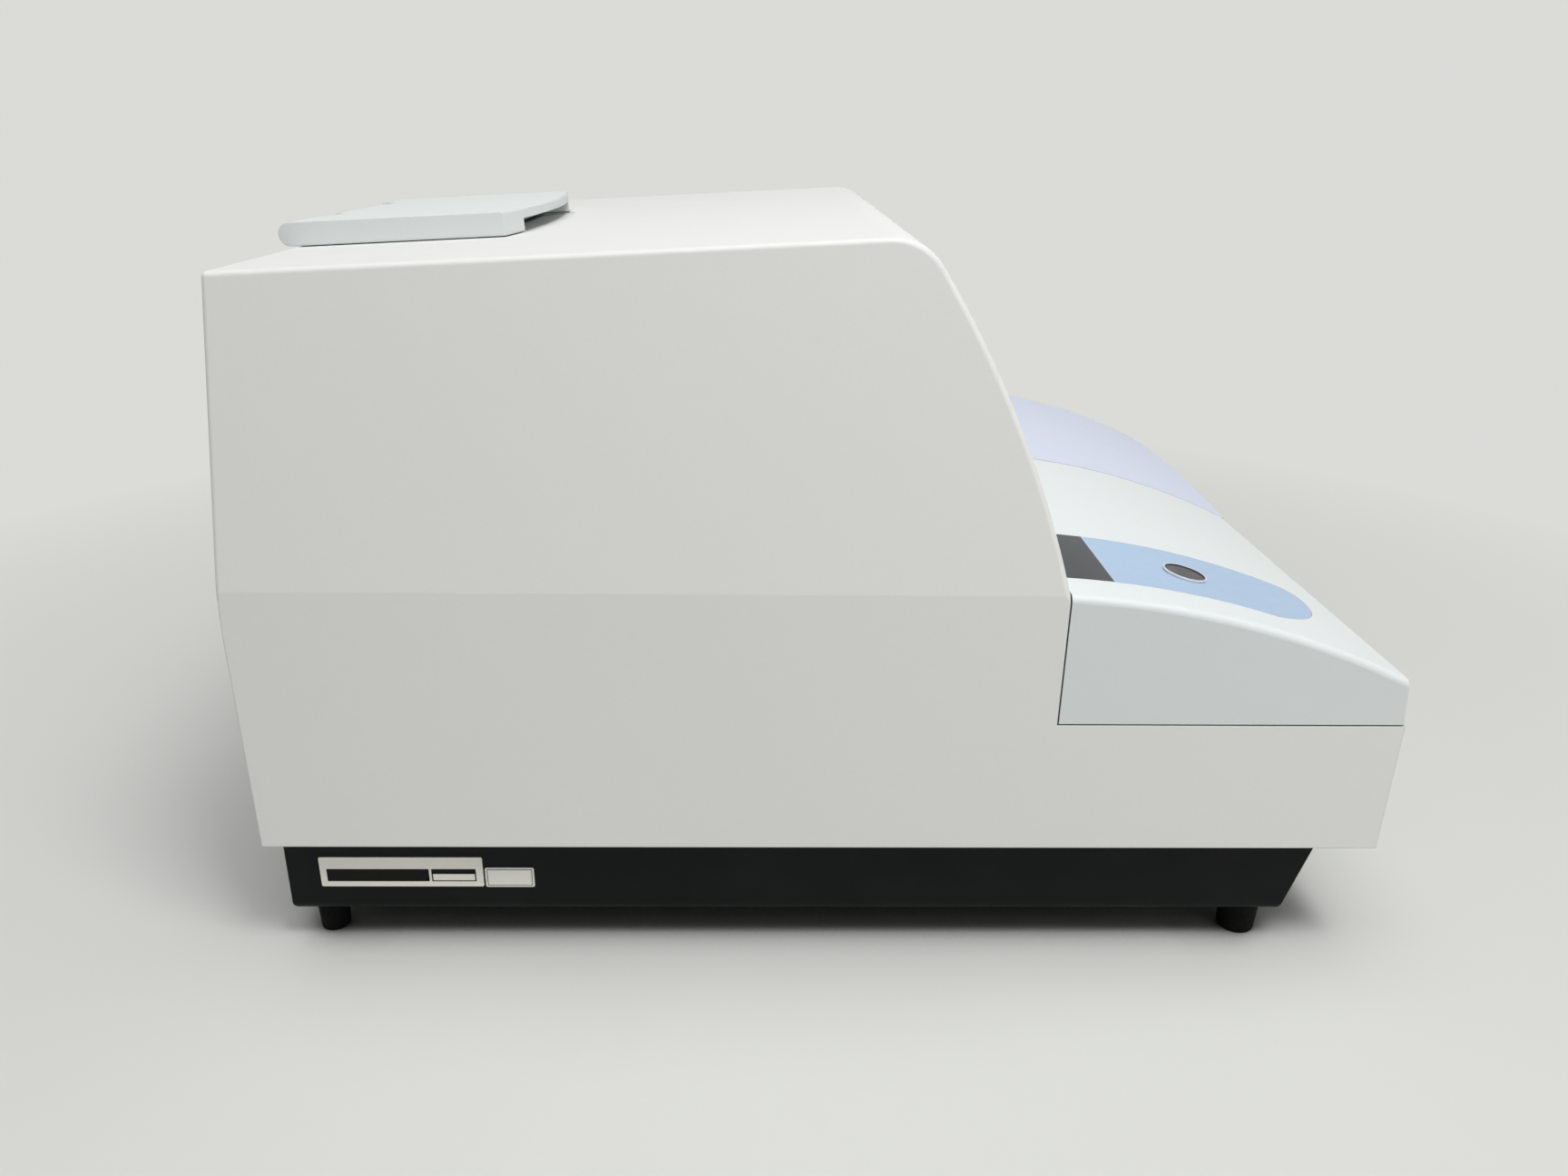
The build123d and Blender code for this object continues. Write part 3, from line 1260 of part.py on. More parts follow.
def filter_wheel():
    """A wheel of filters in the wheel's own frame: axis +Z, first filter on +X."""
    disc = Pos(0, 0, wheel_thickness / 2) * Cylinder(wheel_radius, wheel_thickness)
    for k in range(wheel_hole_count):
        place = Rot(0, 0, 360 / wheel_hole_count * k) * Pos(wheel_pitch_radius, 0, 0)
        disc -= place * Pos(0, 0, wheel_thickness / 2) * Cylinder(filter_radius - filter_rim, wheel_thickness + 2)
        disc -= place * Pos(0, 0, wheel_thickness) * Cylinder(filter_radius, 2 * (filter_thickness + 1))
    boss = Pos(0, 0, wheel_thickness / 2 + 1) * Cylinder(9, wheel_thickness + 2)
    shaft = Pos(0, 0, -wheel_lift - deck_thickness - 4) * Cylinder(
        wheel_shaft_radius, wheel_lift + deck_thickness + 8, align=(Align.CENTER, Align.CENTER, Align.MIN))
    return disc + boss + shaft


def filter_set():
    """The glass filters of one wheel."""
    filters = []
    for k in range(wheel_hole_count):
        place = Rot(0, 0, 360 / wheel_hole_count * k) * Pos(wheel_pitch_radius, 0, 0)
        seat = Pos(0, 0, wheel_thickness - filter_thickness / 2 - 1)
        filters.append(place * seat * Cylinder(filter_radius, filter_thickness))
    return filters


emission_place = Location((stage_x - wheel_pitch_radius, detector_y, wheel_z), (0, 0, 0))
lamp_front_y = at_run(lamp_rear_run + lamp_length)
beam_z = deck_top + lamp_beam_rise
excitation_y = lamp_front_y - lamp_gap - wheel_thickness
bracket_front_y = excitation_y - wheel_lift - deck_thickness
excitation_place = Location((lamp_x, excitation_y, beam_z + wheel_pitch_radius), (-90, 0, 0))


def emission_filter_wheel():
    return emission_place * filter_wheel()


def emission_filters():
    return [emission_place * f for f in filter_set()]


def excitation_filter_wheel():
    return excitation_place * filter_wheel()


def excitation_filters():
    return [excitation_place * f for f in filter_set()]


def wheel_motor():
    """A small round motor in the wheel's frame, its face at the deck's or the bracket's far side."""
    top = -wheel_lift - deck_thickness
    hang = (Align.CENTER, Align.CENTER, Align.MAX)
    body = Pos(0, 0, top) * Cylinder(wheel_motor_radius, wheel_motor_length, align=hang)
    return body - Pos(0, 0, top + 1) * Cylinder(wheel_shaft_radius + running_clearance, 8, align=hang)


def wheel_motors():
    return [place * wheel_motor() for place in (emission_place, excitation_place)]


def motor_bracket():
    """The upright plate that carries the excitation wheel's motor and lets the beam through."""
    face = bracket_front_y
    y1 = face + deck_thickness
    top = beam_z + wheel_pitch_radius + wheel_motor_radius + 6
    plate = block(lamp_x - 30, lamp_x + 30, face, y1, deck_top, top)
    plate -= rod_y(guide_radius, lamp_x, face - 1, y1 + 1, beam_z)
    plate -= rod_y(wheel_shaft_radius + 1.0, lamp_x, face - 1, y1 + 1, beam_z + wheel_pitch_radius)
    toe = block(lamp_x - 30, lamp_x + 30, face - bracket_foot, face, deck_top, deck_top + 5.0)
    return plate + toe


def detector_bridge():
    """A bridge over the emission wheel that carries the detector above the lens."""
    centre_x = stage_x - wheel_pitch_radius
    half = wheel_radius + bridge_gap + bridge_leg
    z1 = wheel_z + wheel_thickness + bridge_gap
    bridge = block(centre_x - half, centre_x + half, detector_y - bridge_depth / 2, detector_y + bridge_depth / 2,
                   deck_top, z1 + bridge_leg)
    bridge -= block(centre_x - half + bridge_leg, centre_x + half - bridge_leg, detector_y - bridge_depth,
                    detector_y + bridge_depth, deck_top - 1, z1)
    return bridge - rod_upright(lens_bore_radius, stage_x, detector_y, z1 - 1, z1 + bridge_leg + 1)


def detector_housing():
    """The shielded light detector: a stepped can with a screwed ring."""
    z0 = wheel_z + wheel_thickness + bridge_gap + bridge_leg
    can = rod_upright(detector_radius, stage_x, detector_y, z0, z0 + detector_height)
    ring = rod_upright(detector_radius + 3, stage_x, detector_y, z0, z0 + 8)
    cap = rod_upright(detector_radius - 6, stage_x, detector_y, z0 + detector_height, z0 + detector_height + 10)
    return can + ring + cap


def lamp_housing():
    """The lamp's finned housing, under the hatch."""
    y0, y1 = lamp_front_y, lamp_front_y + lamp_length
    body = block(lamp_x - lamp_width / 2, lamp_x + lamp_width / 2, y0, y1, deck_top, deck_top + lamp_height)
    pitch = lamp_height / lamp_fin_count
    for k in range(1, lamp_fin_count):
        z = deck_top + k * pitch
        for sign in (-1, 1):
            edge = lamp_x + sign * lamp_width / 2
            body -= block(edge - lamp_fin_depth, edge + lamp_fin_depth, y0 + 6, y1 - 6, z - 2.5, z + 2.5)
    return body - rod_y(lamp_beam_radius, lamp_x, y0 - 1, y0 + 30, beam_z)


def mirror_block():
    """The block that turns the beam towards the measuring head."""
    half = mirror_side / 2
    body = block(mirror_x - half, mirror_x + half, detector_y - half, detector_y + half, deck_top, beam_z + half)
    edges = body.edges().filter_by(Axis.Z)
    return chamfer(edges, length=3.0)


def light_guide():
    """The flexible light guide from the lamp's bracket to the mirror block, in arcs and straight runs."""
    start = (lamp_x, bracket_front_y + deck_thickness - 2.0, beam_z)
    corner = (lamp_x, detector_y, beam_z)
    finish = (mirror_x - mirror_side / 2, detector_y, beam_z)
    path = FilletPolyline(start, corner, finish, radius=guide_bend)
    section = Plane(origin=start, z_dir=(0, -1, 0)) * Circle(guide_radius)
    return sweep(section, path=path)


def power_supply():
    """The power supply: a folded case with a row of vents, round its transformer."""
    y1 = at_run(supply_rear_run)
    y0 = y1 - supply_length
    x0, x1 = supply_x - supply_width / 2, supply_x + supply_width / 2
    top = tray_floor + supply_height
    supply = block(x0, x1, y0, y1, tray_floor, top)
    supply -= block(x0 + supply_wall, x1 - supply_wall, y0 + supply_wall, y1 - supply_wall,
                    tray_floor + supply_wall, top - supply_wall)
    for k in range(10):
        y = y0 + 20 + k * 18
        supply -= block(x1 - 3, x1 + 1, y, y + 8, tray_floor + 14, top - 14)
    return supply + block(x0 + 12, x1 - 18, y0 + 24, y0 + 104, tray_floor + 1, tray_floor + 56)


def control_board():
    """The control board with its larger parts."""
    z0 = tray_floor + standoff_height
    x0, x1 = board_x - board_width / 2, board_x + board_width / 2
    y0 = at_run(board_front_run)
    y1 = y0 + board_length
    board = block(x0, x1, y0, y1, z0, z0 + board_thickness)
    top = z0 + board_thickness
    for dx, dy, width, length, height in ((30, 30, 34, 34, 4), (90, 40, 24, 40, 3), (130, 110, 30, 20, 12),
                                          (40, 110, 50, 12, 10), (150, 40, 16, 50, 9)):
        board += block(x0 + dx, x0 + dx + width, y0 + dy, y0 + dy + length, top, top + height)
    return board


def board_standoffs():
    x0, x1 = board_x - board_width / 2 + 7, board_x + board_width / 2 - 7
    y0 = at_run(board_front_run)
    return [rod_upright(standoff_radius, x, y, tray_floor, tray_floor + standoff_height)
            for x in (x0, x1) for y in (y0 + 7, y0 + board_length - 7)]


def save(name, shape):
    """Write one node, a single solid or a group of separate ones."""
    if isinstance(shape, list):
        shape = Compound(children=[Solid(s.solids()[0].wrapped) for s in shape])
    export_step(shape, f"parts/{name}.step")


os.makedirs("parts", exist_ok=True)
pieces = [
    main_cover, front_hood, display_window, panel_overlay, round_badge, display_module,
    plate_door, door_brackets, door_pins,
    top_lid, lid_hinge_blocks, lid_hinge_pins, hatch_gasket,
    base_tray, front_feet, rear_feet, foot_screws, cover_rails, rear_panel, rear_panel_screws,
    mains_inlet, fuse_drawer, switch_bezel, power_rocker, interface_ports, fan_frame, fan_rotor,
    stage_bench, bench_pillars, rod_blocks, guide_rods, lead_screw, stage_motor,
    carriage, cross_rods, cross_motor, cross_screw, plate_carrier, plate_clamp,
    light_bulkhead, bay_surround,
    optics_deck, deck_columns, lens_barrel, emission_filter_wheel, emission_filters,
    excitation_filter_wheel, excitation_filters, wheel_motors, motor_bracket,
    detector_bridge, detector_housing, lamp_housing, mirror_block, light_guide,
    power_supply, control_board, board_standoffs,
]
for piece in pieces:
    save(piece.__name__, piece())
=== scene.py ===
import math

import bmesh
import bpy
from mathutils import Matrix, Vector


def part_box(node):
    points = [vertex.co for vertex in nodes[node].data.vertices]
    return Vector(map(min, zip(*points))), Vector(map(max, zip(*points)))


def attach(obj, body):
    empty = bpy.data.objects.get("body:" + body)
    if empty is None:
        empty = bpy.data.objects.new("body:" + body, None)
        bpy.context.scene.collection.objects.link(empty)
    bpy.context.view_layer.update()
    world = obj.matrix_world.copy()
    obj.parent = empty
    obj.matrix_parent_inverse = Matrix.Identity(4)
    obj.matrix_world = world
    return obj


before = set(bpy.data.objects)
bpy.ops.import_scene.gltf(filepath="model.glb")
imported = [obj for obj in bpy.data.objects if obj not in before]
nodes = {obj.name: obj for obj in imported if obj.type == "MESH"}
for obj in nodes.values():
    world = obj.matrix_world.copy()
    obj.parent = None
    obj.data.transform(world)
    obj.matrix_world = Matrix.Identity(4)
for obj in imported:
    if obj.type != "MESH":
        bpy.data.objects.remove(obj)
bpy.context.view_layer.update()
print("frame loaded,", len(nodes), "nodes")


def mm(*values):
    # sizes are written in millimetres and used in metres
    scaled = [v / 1000.0 for v in values]
    return scaled[0] if len(scaled) == 1 else Vector(scaled)


# camera: where the photograph was taken from
cameraSetup = {
    "place": (-865.1, 38.7, 472.8),    # mm, left of the reader and a little behind its middle
    "tilt": 68.564,                    # degrees up from straight down
    "roll": -0.625,
    "heading": -90.801,
    "lens": 27.042,
    "sensor": 36.0,
}


def makeCamera(setup):
    cameraData = bpy.data.cameras.new("photoCamera")
    cameraData.lens = setup["lens"]
    cameraData.sensor_width = setup["sensor"]
    camera = bpy.data.objects.new("photoCamera", cameraData)
    camera.location = mm(*setup["place"])
    camera.rotation_euler = [math.radians(setup[k]) for k in ("tilt", "roll", "heading")]
    bpy.context.scene.collection.objects.link(camera)
    bpy.context.scene.camera = camera


makeCamera(cameraSetup)
print("camera placed")


# finishes
def srgb(*rgb):
    # a 0-255 colour as linear values
    out = []
    for value in rgb:
        c = value / 255.0
        out.append(c / 12.92 if c <= 0.04045 else ((c + 0.055) / 1.055) ** 2.4)
    return tuple(out) + (1.0,)


white = (1.0, 1.0, 1.0, 1.0)
reliefDepth = {    # mm, how deep each surface's texture goes
    "shell": 0.12, "enamel": 0.2, "machined": 0.08, "rubber": 0.15, "film": 0.05, "glass": 0.04,
    "board": 0.1, "floor": 0.2,
}


def dimmed(colour, share):
    return tuple(c * share for c in colour[:3]) + (1.0,)


class Finish:
    # a material with its node tree and a few helpers to wire it
    def __init__(self, name):
        self.material = bpy.data.materials.new(name)
        self.material.use_nodes = True
        self.tree = self.material.node_tree
        self.tree.nodes.clear()
        self.output = self.add("ShaderNodeOutputMaterial")
        self.shader = self.add("ShaderNodeBsdfPrincipled")
        self.tree.links.new(self.shader.outputs["BSDF"], self.output.inputs["Surface"])
        self.where = self.add("ShaderNodeTexCoord").outputs["Object"]

    def add(self, kind, **settings):
        node = self.tree.nodes.new(kind)
        for key, value in settings.items():
            if key in node.inputs:
                node.inputs[key].default_value = value
            else:
                setattr(node, key, value)
        return node

    def join(self, source, target):
        self.tree.links.new(source, target)

    def noise(self, scale, detail=3.0, rough=0.5, where=None):
        node = self.add("ShaderNodeTexNoise", Scale=scale, Detail=detail, Roughness=rough)
        self.join(where or self.where, node.inputs["Vector"])
        return node.outputs["Fac"]

    def ramp(self, source, low, high, start=0.0, end=1.0):
        node = self.add("ShaderNodeValToRGB")
        node.color_ramp.elements[0].position = start
        node.color_ramp.elements[1].position = end
        node.color_ramp.elements[0].color = low
        node.color_ramp.elements[1].color = high
        self.join(source, node.inputs["Fac"])
        return node.outputs["Color"]

    def spread(self, source, low, high, start=0.3, end=0.7):
        node = self.add("ShaderNodeMapRange")
        for key, value in (("From Min", start), ("From Max", end), ("To Min", low), ("To Max", high)):
            node.inputs[key].default_value = value
        self.join(source, node.inputs["Value"])
        return node.outputs["Result"]

    def mix(self, amount, first, second, blend="MIX"):
        node = self.add("ShaderNodeMix", data_type="RGBA", blend_type=blend)
        for key, value in ((0, amount), (6, first), (7, second)):
            if hasattr(value, "is_linked"):
                self.join(value, node.inputs[key])
            else:
                node.inputs[key].default_value = value
        return node.outputs[2]

    def bumps(self, height, strength, surface, edge=0.0):
        # edge is the radius of the softened corners, in metres
        node = self.add("ShaderNodeBump", Strength=strength, Distance=mm(reliefDepth[surface]))
        self.join(height, node.inputs["Height"])
        if edge:
            soft = self.add("ShaderNodeBevel", samples=6, Radius=edge)
            self.join(soft.outputs["Normal"], node.inputs["Normal"])
        self.join(node.outputs["Normal"], self.shader.inputs["Normal"])

    def paintedOcclusionShade(self, source, spec):
        # painted shade: the colour is darkened by ambient occlusion where surfaces stand close together,
        # in seams, gaps and corners
        near = self.add("ShaderNodeAmbientOcclusion", samples=8, Distance=mm(spec["seamReach"]))
        dark = dimmed(white, spec["seamShade"])
        shade = self.ramp(near.outputs["AO"], dark, white, spec["seamFrom"], spec["seamTo"])
        return self.mix(1.0, source, shade, "MULTIPLY")

    def colour(self, source):
        self.join(source, self.shader.inputs["Base Color"])

    def gloss(self, source):
        self.join(source, self.shader.inputs["Roughness"])

    def sheen(self, level):
        self.shader.inputs["Specular IOR Level"].default_value = level


def mouldedFinish(name, spec):
    # satin injection-moulded shell: spark-eroded grain, faint cloudiness, a trace of handling grime;
    # painted shade darkens its seams and gaps
    f = Finish(name)
    tone = srgb(*spec["colour"])
    aged = tuple(c * m for c, m in zip(tone[:3], spec["agedBy"])) + (1.0,)
    cloud = f.noise(spec["cloudScale"], 4.0, 0.55)
    base = f.ramp(cloud, aged, tone, 0.32, 0.62)
    speck = f.noise(spec["grainScale"] * 0.35, 2.0, 0.6)
    shade = f.ramp(speck, (0.99, 0.99, 0.989, 1.0), white, 0.36, 0.56)
    # painted shade: the grained colour is darkened in seams and gaps by ambient occlusion
    f.colour(f.paintedOcclusionShade(f.mix(1.0, base, shade, "MULTIPLY"), spec))
    f.gloss(f.spread(f.noise(spec["grainScale"] * 0.02, 3.0), spec["rough"] - 0.05, spec["rough"] + 0.06))
    f.sheen(spec["sheen"])
    f.bumps(f.noise(spec["grainScale"], 2.0, 0.7), spec["grain"], "shell", spec["edge"])
    return f.material


def paintedMetalFinish(name, spec):
    # stove-enamelled sheet: fine orange peel and dull scuffs
    f = Finish(name)
    tone = srgb(*spec["colour"])
    dusty = srgb(*spec["dust"])
    scuffs = f.spread(f.noise(spec["scuffScale"], 6.0, 0.65), 0.0, spec["dustAmount"], 0.52, 0.78)
    f.colour(f.mix(scuffs, tone, dusty))
    f.gloss(f.spread(f.noise(spec["scuffScale"] * 3.0, 4.0), spec["rough"] - 0.07, spec["rough"] + 0.1))
    f.sheen(spec["sheen"])
    f.bumps(f.noise(spec["peelScale"], 2.0, 0.5), spec["peel"], "enamel", spec["edge"])
    return f.material


def metalFinish(name, spec):
    # bare or plated metal with fine machining marks along one axis
    f = Finish(name)
    tone = srgb(*spec["colour"])
    stretch = f.add("ShaderNodeMapping")
    stretch.inputs["Scale"].default_value = spec["brush"]
    f.join(f.where, stretch.inputs["Vector"])
    marks = f.noise(spec["markScale"], 5.0, 0.6, stretch.outputs["Vector"])
    f.colour(f.ramp(marks, dimmed(tone, 0.86), tone, 0.35, 0.65))
    f.shader.inputs["Metallic"].default_value = spec.get("metal", 1.0)
    f.gloss(f.spread(marks, spec["rough"] - 0.06, spec["rough"] + 0.08))
    f.bumps(marks, spec["depth"], "machined", spec["edge"])
    return f.material


def rubberFinish(name, spec):
    # moulded rubber with a dull bloom
    f = Finish(name)
    tone = srgb(*spec["colour"])
    bloom = srgb(*spec["bloom"])
    f.colour(f.ramp(f.noise(90.0, 5.0, 0.6), tone, bloom, 0.45, 0.8))
    f.gloss(f.spread(f.noise(240.0, 3.0), 0.62, 0.82))
    f.sheen(spec["sheen"])
    f.bumps(f.noise(1400.0, 2.0, 0.7), 0.25, "rubber", spec["edge"])
    return f.material


def filmFinish(name, spec):
    # printed polyester film: a fine screen-print tooth under a satin top coat
    f = Finish(name)
    tone = srgb(*spec["colour"])
    far = srgb(*spec["faded"])
    f.colour(f.ramp(f.noise(14.0, 3.0, 0.5), far, tone, 0.3, 0.7))
    f.gloss(f.spread(f.noise(160.0, 2.0), spec["rough"] - 0.04, spec["rough"] + 0.05))
    f.sheen(spec["sheen"])
    f.bumps(f.noise(3200.0, 1.0, 0.5), 0.1, "film", spec["edge"])
    return f.material


def glassFinish(name, spec):
    # tinted window or coated filter glass, with a faint haze
    f = Finish(name)
    tone = srgb(*spec["colour"])
    f.colour(f.ramp(f.noise(30.0, 3.0), dimmed(tone, 0.8), tone, 0.35, 0.65))
    f.gloss(f.spread(f.noise(70.0, 4.0), spec["rough"], spec["rough"] + 0.06))
    f.sheen(spec["sheen"])
    f.shader.inputs["Coat Weight"].default_value = spec["coat"]
    f.shader.inputs["Coat Roughness"].default_value = 0.05
    f.bumps(f.noise(420.0, 2.0), 0.04, "glass", spec["edge"])
    return f.material


def boardFinish(name, spec):
    # lacquered circuit board: copper tracks show faintly through the solder mask
    f = Finish(name)
    brick = f.add("ShaderNodeTexBrick", Scale=spec["scale"])
    brick.inputs["Mortar Size"].default_value = spec["track"]
    for socket, key in (("Color1", "mask"), ("Color2", "maskLight"), ("Mortar", "copper")):
        brick.inputs[socket].default_value = srgb(*spec[key])
    f.join(f.where, brick.inputs["Vector"])
    f.colour(brick.outputs["Color"])
    f.gloss(f.spread(f.noise(90.0), 0.25, 0.4))
    f.bumps(brick.outputs["Fac"], 0.2, "board", spec["edge"])
    return f.material


# the white shell; the other mouldings differ from it in what they name
shell = {
    "colour": (232, 232, 230), "agedBy": (0.99, 0.99, 0.986), "cloudScale": 2.6, "grainScale": 1900.0,
    "rough": 0.5, "sheen": 0.42, "grain": 0.07, "edge": 0.0012,
    # seamReach, seamShade, seamFrom and seamTo set the painted shade in seams and gaps
    "seamReach": 4.0, "seamShade": 0.1, "seamFrom": 0.2, "seamTo": 0.72,    # reach in mm
}
finishes = {
    "coverShell": mouldedFinish("coverShell", shell),
    "hoodShell": mouldedFinish("hoodShell", dict(
        shell, colour=(223, 228, 228), agedBy=(0.99, 0.99, 0.99), edge=0.0006)),
    "lilacShell": mouldedFinish("lilacShell", dict(
        shell, colour=(209, 216, 232), agedBy=(0.99, 0.99, 0.995), edge=0.0008)),
    "innerBlack": mouldedFinish("innerBlack", dict(
        shell, colour=(38, 38, 40), agedBy=(1.15, 1.15, 1.15), rough=0.62, grain=0.3, edge=0.0008)),
    "switchBlack": mouldedFinish("switchBlack", dict(
        shell, colour=(30, 30, 31), agedBy=(1.1, 1.1, 1.1), rough=0.42, grain=0.2, edge=0.0005)),
    "trayEnamel": paintedMetalFinish("trayEnamel", {
        "colour": (10, 12, 14), "dust": (30, 33, 36), "scuffScale": 9.0, "dustAmount": 0.25,
        "rough": 0.46, "sheen": 0.14, "peelScale": 900.0, "peel": 0.16, "edge": 0.0012}),
    "footRubber": rubberFinish("footRubber", {
        "colour": (6, 6, 6), "bloom": (15, 15, 14), "sheen": 0.1, "edge": 0.0008}),
    "blueFilm": filmFinish("blueFilm", {
        "colour": (168, 192, 218), "faded": (165, 189, 215), "rough": 0.42, "sheen": 0.5, "edge": 0.0003}),
    "windowTint": glassFinish("windowTint", {
        "colour": (36, 40, 48), "rough": 0.16, "sheen": 0.2, "coat": 0.12, "edge": 0.0004}),
    "groundSteel": metalFinish("groundSteel", {
        "colour": (196, 198, 200), "brush": (4.0, 60.0, 60.0), "markScale": 14.0,
        "rough": 0.27, "depth": 0.12, "edge": 0.0004}),
    "zincSteel": metalFinish("zincSteel", {
        "colour": (180, 181, 178), "brush": (20.0, 20.0, 20.0), "markScale": 12.0,
        "rough": 0.38, "depth": 0.1, "edge": 0.0006}),
    "clearAnodised": metalFinish("clearAnodised", {
        "colour": (186, 188, 190), "brush": (6.0, 90.0, 20.0), "markScale": 10.0,
        "rough": 0.4, "depth": 0.14, "edge": 0.0008}),
    "blackAnodised": metalFinish("blackAnodised", {
        "colour": (44, 45, 48), "brush": (30.0, 30.0, 30.0), "metal": 0.7, "markScale": 20.0,
        "rough": 0.44, "depth": 0.1, "edge": 0.0006}),
    "turnedBrass": metalFinish("turnedBrass", {
        "colour": (206, 172, 96), "brush": (10.0, 10.0, 80.0), "markScale": 16.0,
        "rough": 0.3, "depth": 0.1, "edge": 0.0003}),
    "filterCoat": glassFinish("filterCoat", {
        "colour": (96, 52, 132), "rough": 0.08, "sheen": 0.5, "coat": 1.0, "edge": 0.0003}),
    "boardMask": boardFinish("boardMask", {
        "mask": (18, 84, 46), "maskLight": (24, 98, 54), "copper": (60, 140, 84),
        "scale": 160.0, "track": 0.06, "edge": 0.0004}),
}

finishOfNode = {
    "coverShell": "main_cover",
    "hoodShell": "front_hood top_lid lid_hinge_blocks",
    "lilacShell": "plate_door",
    "innerBlack": "light_bulkhead bay_surround fan_frame fan_rotor display_module light_guide",
    "switchBlack": "mains_inlet fuse_drawer switch_bezel power_rocker",
    "trayEnamel": "base_tray rear_panel cover_rails",
    "footRubber": "front_feet rear_feet hatch_gasket",
    "blueFilm": "panel_overlay",
    "windowTint": "display_window",
    "groundSteel": "guide_rods cross_rods lead_screw cross_screw door_pins lid_hinge_pins",
    "zincSteel": "door_brackets foot_screws rear_panel_screws interface_ports bench_pillars "
                 "deck_columns power_supply",
    "clearAnodised": "stage_bench rod_blocks carriage optics_deck lamp_housing motor_bracket "
                     "plate_clamp detector_bridge",
    "blackAnodised": "plate_carrier lens_barrel detector_housing mirror_block emission_filter_wheel "
                     "excitation_filter_wheel stage_motor cross_motor wheel_motors",
    "turnedBrass": "board_standoffs",
    "filterCoat": "emission_filters excitation_filters",
    "boardMask": "control_board",
}


def dress(node, material):
    slots = nodes[node].data.materials
    for k in range(len(slots)):
        slots[k] = material
    if not len(slots):
        slots.append(material)


for finish, names in finishOfNode.items():
    for name in names.split():
        dress(name, finishes[finish])
print("finishes on", sum(len(v.split()) for v in finishOfNode.values()), "nodes")


# round badge on the blue film
badge = {"rim": (236, 238, 240), "face": (26, 28, 33), "rimWidth": 0.6, "blend": 0.1, "edge": 0.3}


def badgeFinish(spec, centre, radius):
    # one finish for rim and face: the rim is what lies further out than the face's edge
    f = Finish("badgeLacquer")
    away = f.add("ShaderNodeVectorMath", operation="DISTANCE")
    f.join(f.where, away.inputs[0])
    away.inputs[1].default_value = centre
    turn, blend = radius - mm(spec["rimWidth"]), mm(spec["blend"])
    edge = f.spread(away.outputs["Value"], 0.0, 1.0, turn - blend, turn + blend)
    face = srgb(*spec["face"])
    worn = f.ramp(f.noise(60.0), dimmed(face, 0.9), face, 0.3, 0.7)
    f.colour(f.mix(edge, worn, srgb(*spec["rim"])))
    f.gloss(f.spread(f.noise(120.0), 0.24, 0.34))
    f.bumps(f.noise(1800.0, 1.0), 0.06, "film", mm(spec["edge"]))
    return f.material


low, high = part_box("round_badge")
dress("round_badge", badgeFinish(badge, (low + high) / 2, (high.x - low.x) / 2))
print("badge finished")


# foil plates on the side of the tray
def roundedOutline(width, height, radius, steps=6):
    points = []
    for cx, cy, start in ((1, 1, 0), (-1, 1, 90), (-1, -1, 180), (1, -1, 270)):
        for k in range(steps + 1):
            a = math.radians(start + 90 * k / steps)
            points.append((cx * (width / 2 - radius) + radius * math.cos(a),
                           cy * (height / 2 - radius) + radius * math.sin(a)))
    return points


def newPiece(name, mesh, material, body="base"):
    mesh.materials.append(material)
    piece = bpy.data.objects.new(name, mesh)
    bpy.context.scene.collection.objects.link(piece)
    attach(piece, body)
    return piece


# blank plates; their printed fields are thin layers on top, each with where its back lies
labelPlates = {
    "foil": {"thickness": 0.35, "corner": 1.2, "sideX": -261.0},
    "print": {"thickness": 0.03, "corner": 0.4, "sideX": -261.34},
    "field": {"thickness": 0.03, "corner": 0.3, "sideX": -261.365},
    # the rim from its foot inwards: mm inwards, share of the thickness
    "rim": ((0.0, -0.02), (0.0, 0.6), (0.12, 1.0), (0.7, 1.0), (0.9, 0.72)),
    "leastCorner": 0.3,
    "pieces": {
        "ratingPlate": ("foil", "plateFoil", {"rear": 306.2, "front": 208.0, "low": 39.4, "high": 60.2}),
        "ratingBand": ("print", "plateInk", {"rear": 302.2, "front": 240.7, "low": 43.2, "high": 51.9}),
        "numberBand": ("print", "plateInk", {"rear": 239.2, "front": 212.4, "low": 43.2, "high": 51.9}),
        "numberField": ("field", "plateFoil", {"rear": 238.4, "front": 213.2, "low": 43.9, "high": 48.4}),
        "checkPlate": ("foil", "plateFoil", {"rear": 206.9, "front": 177.3, "low": 39.1, "high": 52.8}),
        "checkFrame": ("print", "plateInk", {"rear": 205.7, "front": 178.5, "low": 40.2, "high": 51.7}),
        "checkField": ("field", "plateFoil", {"rear": 205.3, "front": 178.9, "low": 40.6, "high": 51.3}),
    },
}


def labelPlate(name, place, spec, material):
    # a thin foil plate with a pressed rim, lying on the tray's side
    width, height = place["rear"] - place["front"], place["high"] - place["low"]
    middleY, middleZ = (place["rear"] + place["front"]) / 2, (place["low"] + place["high"]) / 2
    mesh = bpy.data.meshes.new(name)
    bm = bmesh.new()
    rings = []
    for shrink, rise in labelPlates["rim"]:
        corner = max(spec["corner"] - shrink, labelPlates["leastCorner"])
        x = spec["sideX"] - spec["thickness"] * rise
        outline = roundedOutline(width - 2 * shrink, height - 2 * shrink, corner)
        rings.append([bm.verts.new(mm(x, middleY + py, middleZ + pz)) for py, pz in outline])
    count = len(rings[0])
    for inner, outer in zip(rings[1:], rings[:-1]):
        for k in range(count):
            bm.faces.new((outer[k], outer[(k + 1) % count], inner[(k + 1) % count], inner[k]))
    bm.faces.new(rings[-1])
    bmesh.ops.recalc_face_normals(bm, faces=bm.faces[:])
    bm.to_mesh(mesh)
    bm.free()
    return newPiece(name, mesh, material)


